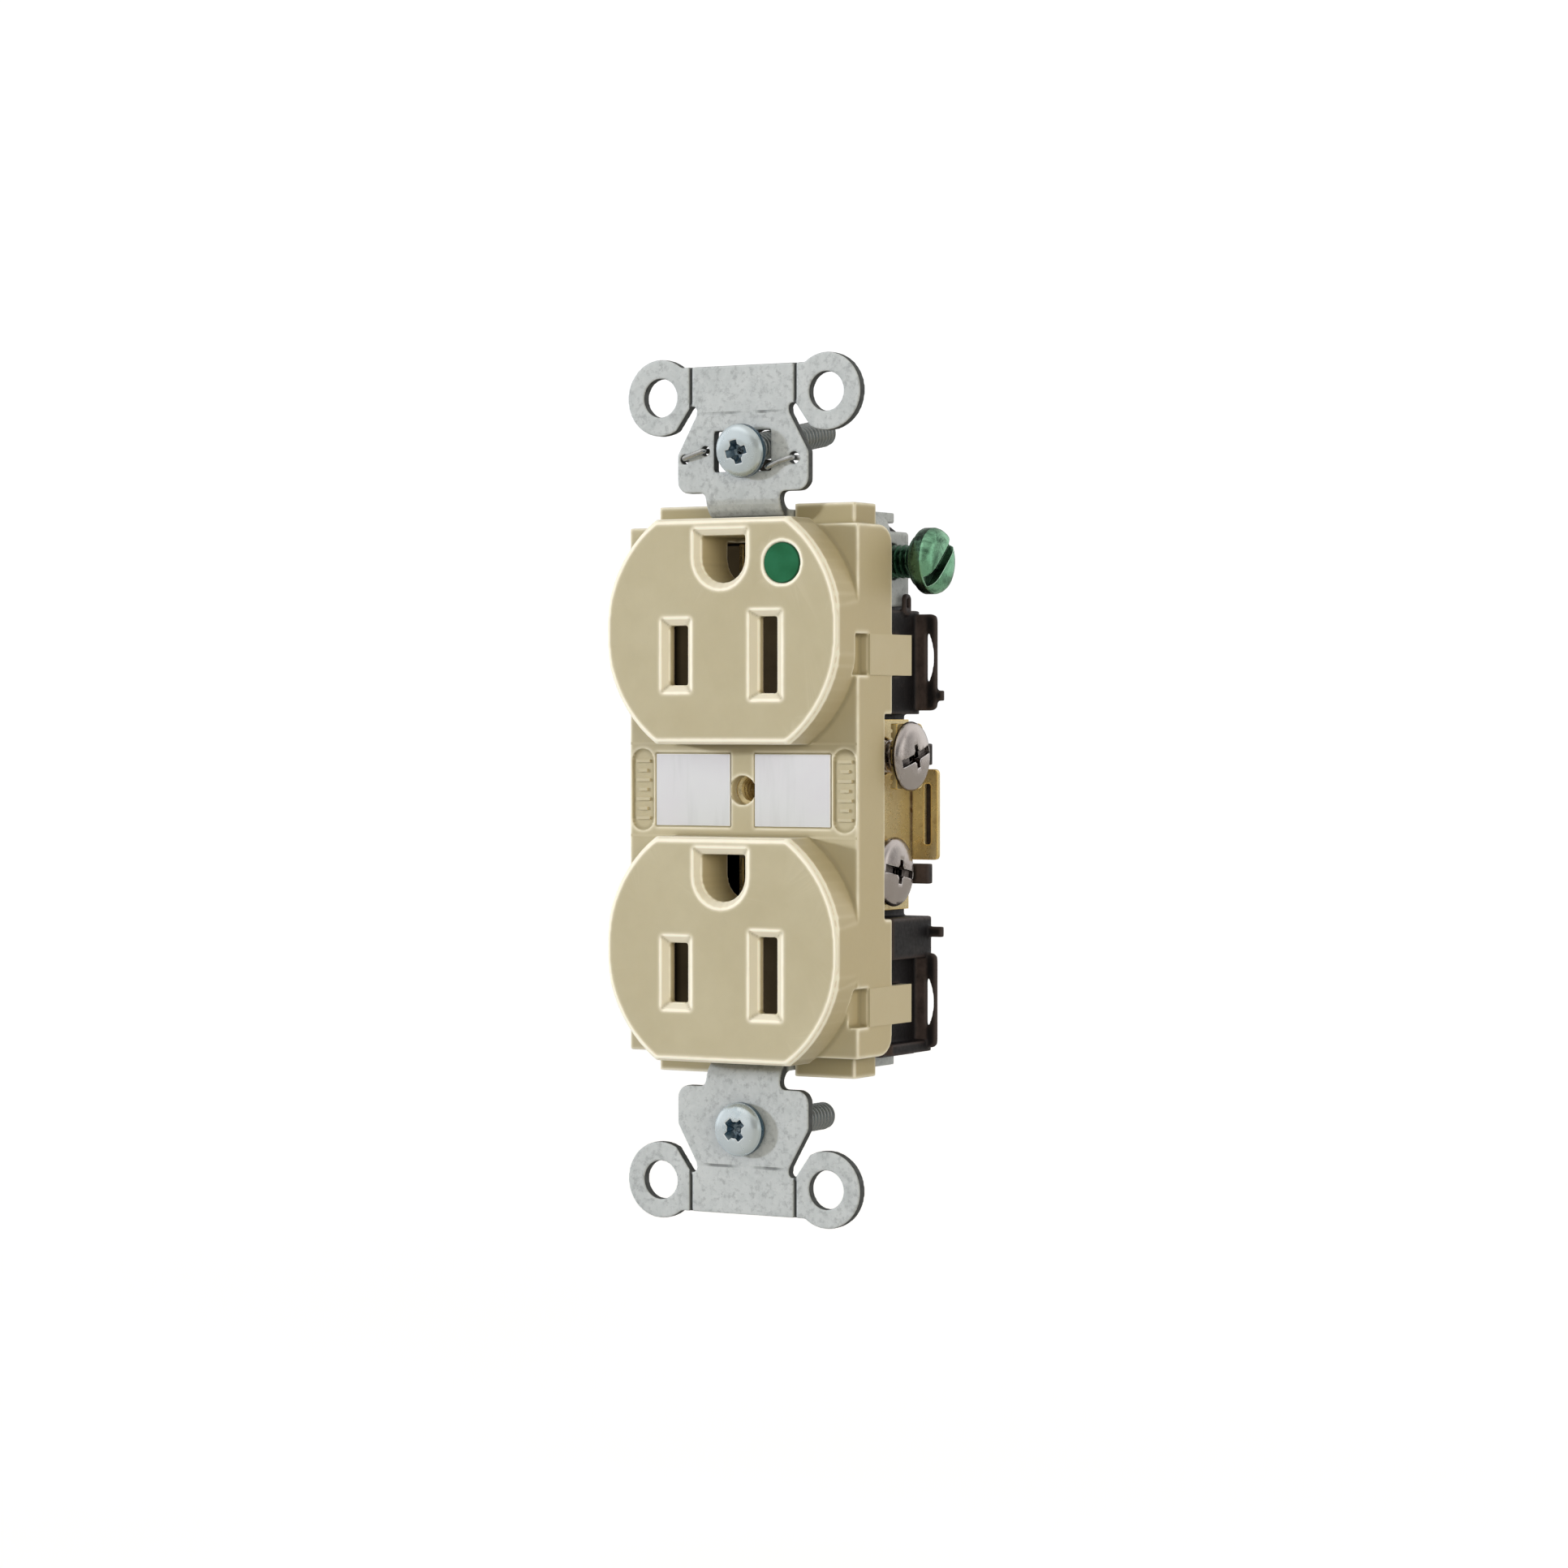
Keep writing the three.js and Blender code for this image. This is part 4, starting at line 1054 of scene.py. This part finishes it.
# ---- stage, light, camera
def add_floor():
    half, drop = 4, 0.03  # metres; the drop is below the CAD's lowest point
    mesh = bpy.data.meshes.new("floor")
    corners = [(-half, -half, 0), (half, -half, 0), (half, half, 0), (-half, half, 0)]
    mesh.from_pydata(corners, [], [(0, 1, 2, 3)])
    floor = bpy.data.objects.new("floor", mesh)
    floor.location = (0, 0, cad_low.z - drop)
    bpy.context.scene.collection.objects.link(floor)
    mat = Material("floor_paint")
    seen = mat.node("ShaderNodeLightPath").outputs["Is Camera Ray"]
    mat.base(mat.noise(scale=3, detail=3), (0.62, 0.62, 0.62, 1), (0.66, 0.66, 0.66, 1))
    mat.set(Roughness=0.95, Specular_IOR_Level=0.05)
    mat.set(Emission_Color=(1, 1, 1, 1), Emission_Strength=mat.times(seen, 0.62))
    mesh.materials.append(mat.data)


# soft boxes: direction, cosine at the outer edge, cosine at the full core, strength
SOFT_BOXES = (
    ((-0.62, -0.72, 0.30), 0.45, 0.86, 0.55),  # front left
    ((0.1, -0.1, 1.0), 0.45, 0.85, 0.5),  # overhead
    ((0.95, 0.10, -0.12), 0.72, 0.93, 0.55),  # low right
    ((0.50, 0.86, 0.06), 0.55, 0.95, 0.72),  # back right
    ((-0.9, 0.4, 0.1), 0.70, 0.90, 0.5),  # left
)
DARK_PATCH = ((0.72, 0.66, 0.02), 0.93, 0.985, 0.6)  # same columns; dims the back right


def add_world():
    """Reflections see soft boxes, matt surfaces a warm even fill, the camera plain white."""
    gloom, fill, backdrop = 0.17, 0.36, 1.06  # strengths
    world = bpy.data.worlds.new("studio")
    bpy.context.scene.world = world
    world.use_nodes = True
    graph = Graph(world.node_tree)
    background = next(n for n in graph.tree.nodes if n.type == "BACKGROUND")
    coords = graph.node("ShaderNodeTexCoord").outputs["Generated"]
    rays = graph.node("ShaderNodeLightPath").outputs
    glossy, camera = rays["Is Glossy Ray"], rays["Is Camera Ray"]

    def patch(direction, outer, core, strength):
        dot_product = graph.node("ShaderNodeVectorMath", operation="DOT_PRODUCT")
        graph.feed(dot_product.inputs[0], coords)
        dot_product.inputs[1].default_value = Vector(direction).normalized()
        spot = graph.ramp(dot_product.outputs["Value"], over=(outer, core), smooth=True)
        return graph.times(spot, strength)

    studio = gloom
    for soft_box in SOFT_BOXES:
        studio = graph.math("ADD", patch(*soft_box), studio)
    studio = graph.times(studio, graph.math("SUBTRACT", 1.0, patch(*DARK_PATCH)))
    extra = graph.times(glossy, graph.math("SUBTRACT", studio, fill))
    light = graph.math("ADD", extra, fill)
    shown = graph.times(camera, graph.math("SUBTRACT", backdrop, light))
    graph.feed(background.inputs["Strength"], graph.math("ADD", light, shown))
    white = graph.math("ADD", glossy, camera, clamp=True)
    tone = graph.mix(white, (1.0, 0.945, 0.81, 1), (1, 1, 1, 1))
    graph.feed(background.inputs["Color"], tone)


SUNS = (  # name, direction to the light, strength, angular size in degrees, colour
    ("key_left", (-0.80, -0.58, 0.15), 2.1, 5, (0.95, 1.0, 1.13)),
    ("fill_right", (0.80, -0.55, 0.12), 1.32, 40, (1.0, 0.955, 0.85)),
    ("back_left", (-0.5, 0.85, 0.35), 0.8, 40, (1, 1, 1)),
    ("back_right", (0.45, 0.88, 0.25), 0.6, 40, (1, 1, 1)),
)


def add_sun(name, toward, strength, angle, colour):
    light = bpy.data.lights.new(name, "SUN")
    light.energy = strength
    light.angle = math.radians(angle)
    light.color = colour
    sun = bpy.data.objects.new(name, light)
    sun.rotation_mode = "QUATERNION"
    sun.rotation_quaternion = Vector(toward).to_track_quat("Z", "Y")
    sun.visible_glossy = False  # polished metal sees the soft boxes only
    bpy.context.scene.collection.objects.link(sun)


def add_camera():
    """Front right of the device, looking back at it and slightly down."""
    lens = bpy.data.cameras.new("camera")
    lens.lens = 97.17
    lens.sensor_width = 36
    lens.clip_start = 0.02
    lens.clip_end = 20
    camera = bpy.data.objects.new("camera", lens)
    camera.location = (0.26594, -0.44807, 0.00847 + MIDDLE_Z * MM)
    camera.rotation_euler = (math.radians(90 - 0.849), 0, math.radians(30.198))
    bpy.context.scene.collection.objects.link(camera)
    bpy.context.scene.camera = camera


add_floor()
add_world()
for sun_row in SUNS:
    add_sun(*sun_row)
add_camera()
bpy.context.scene.view_settings.view_transform = "Standard"
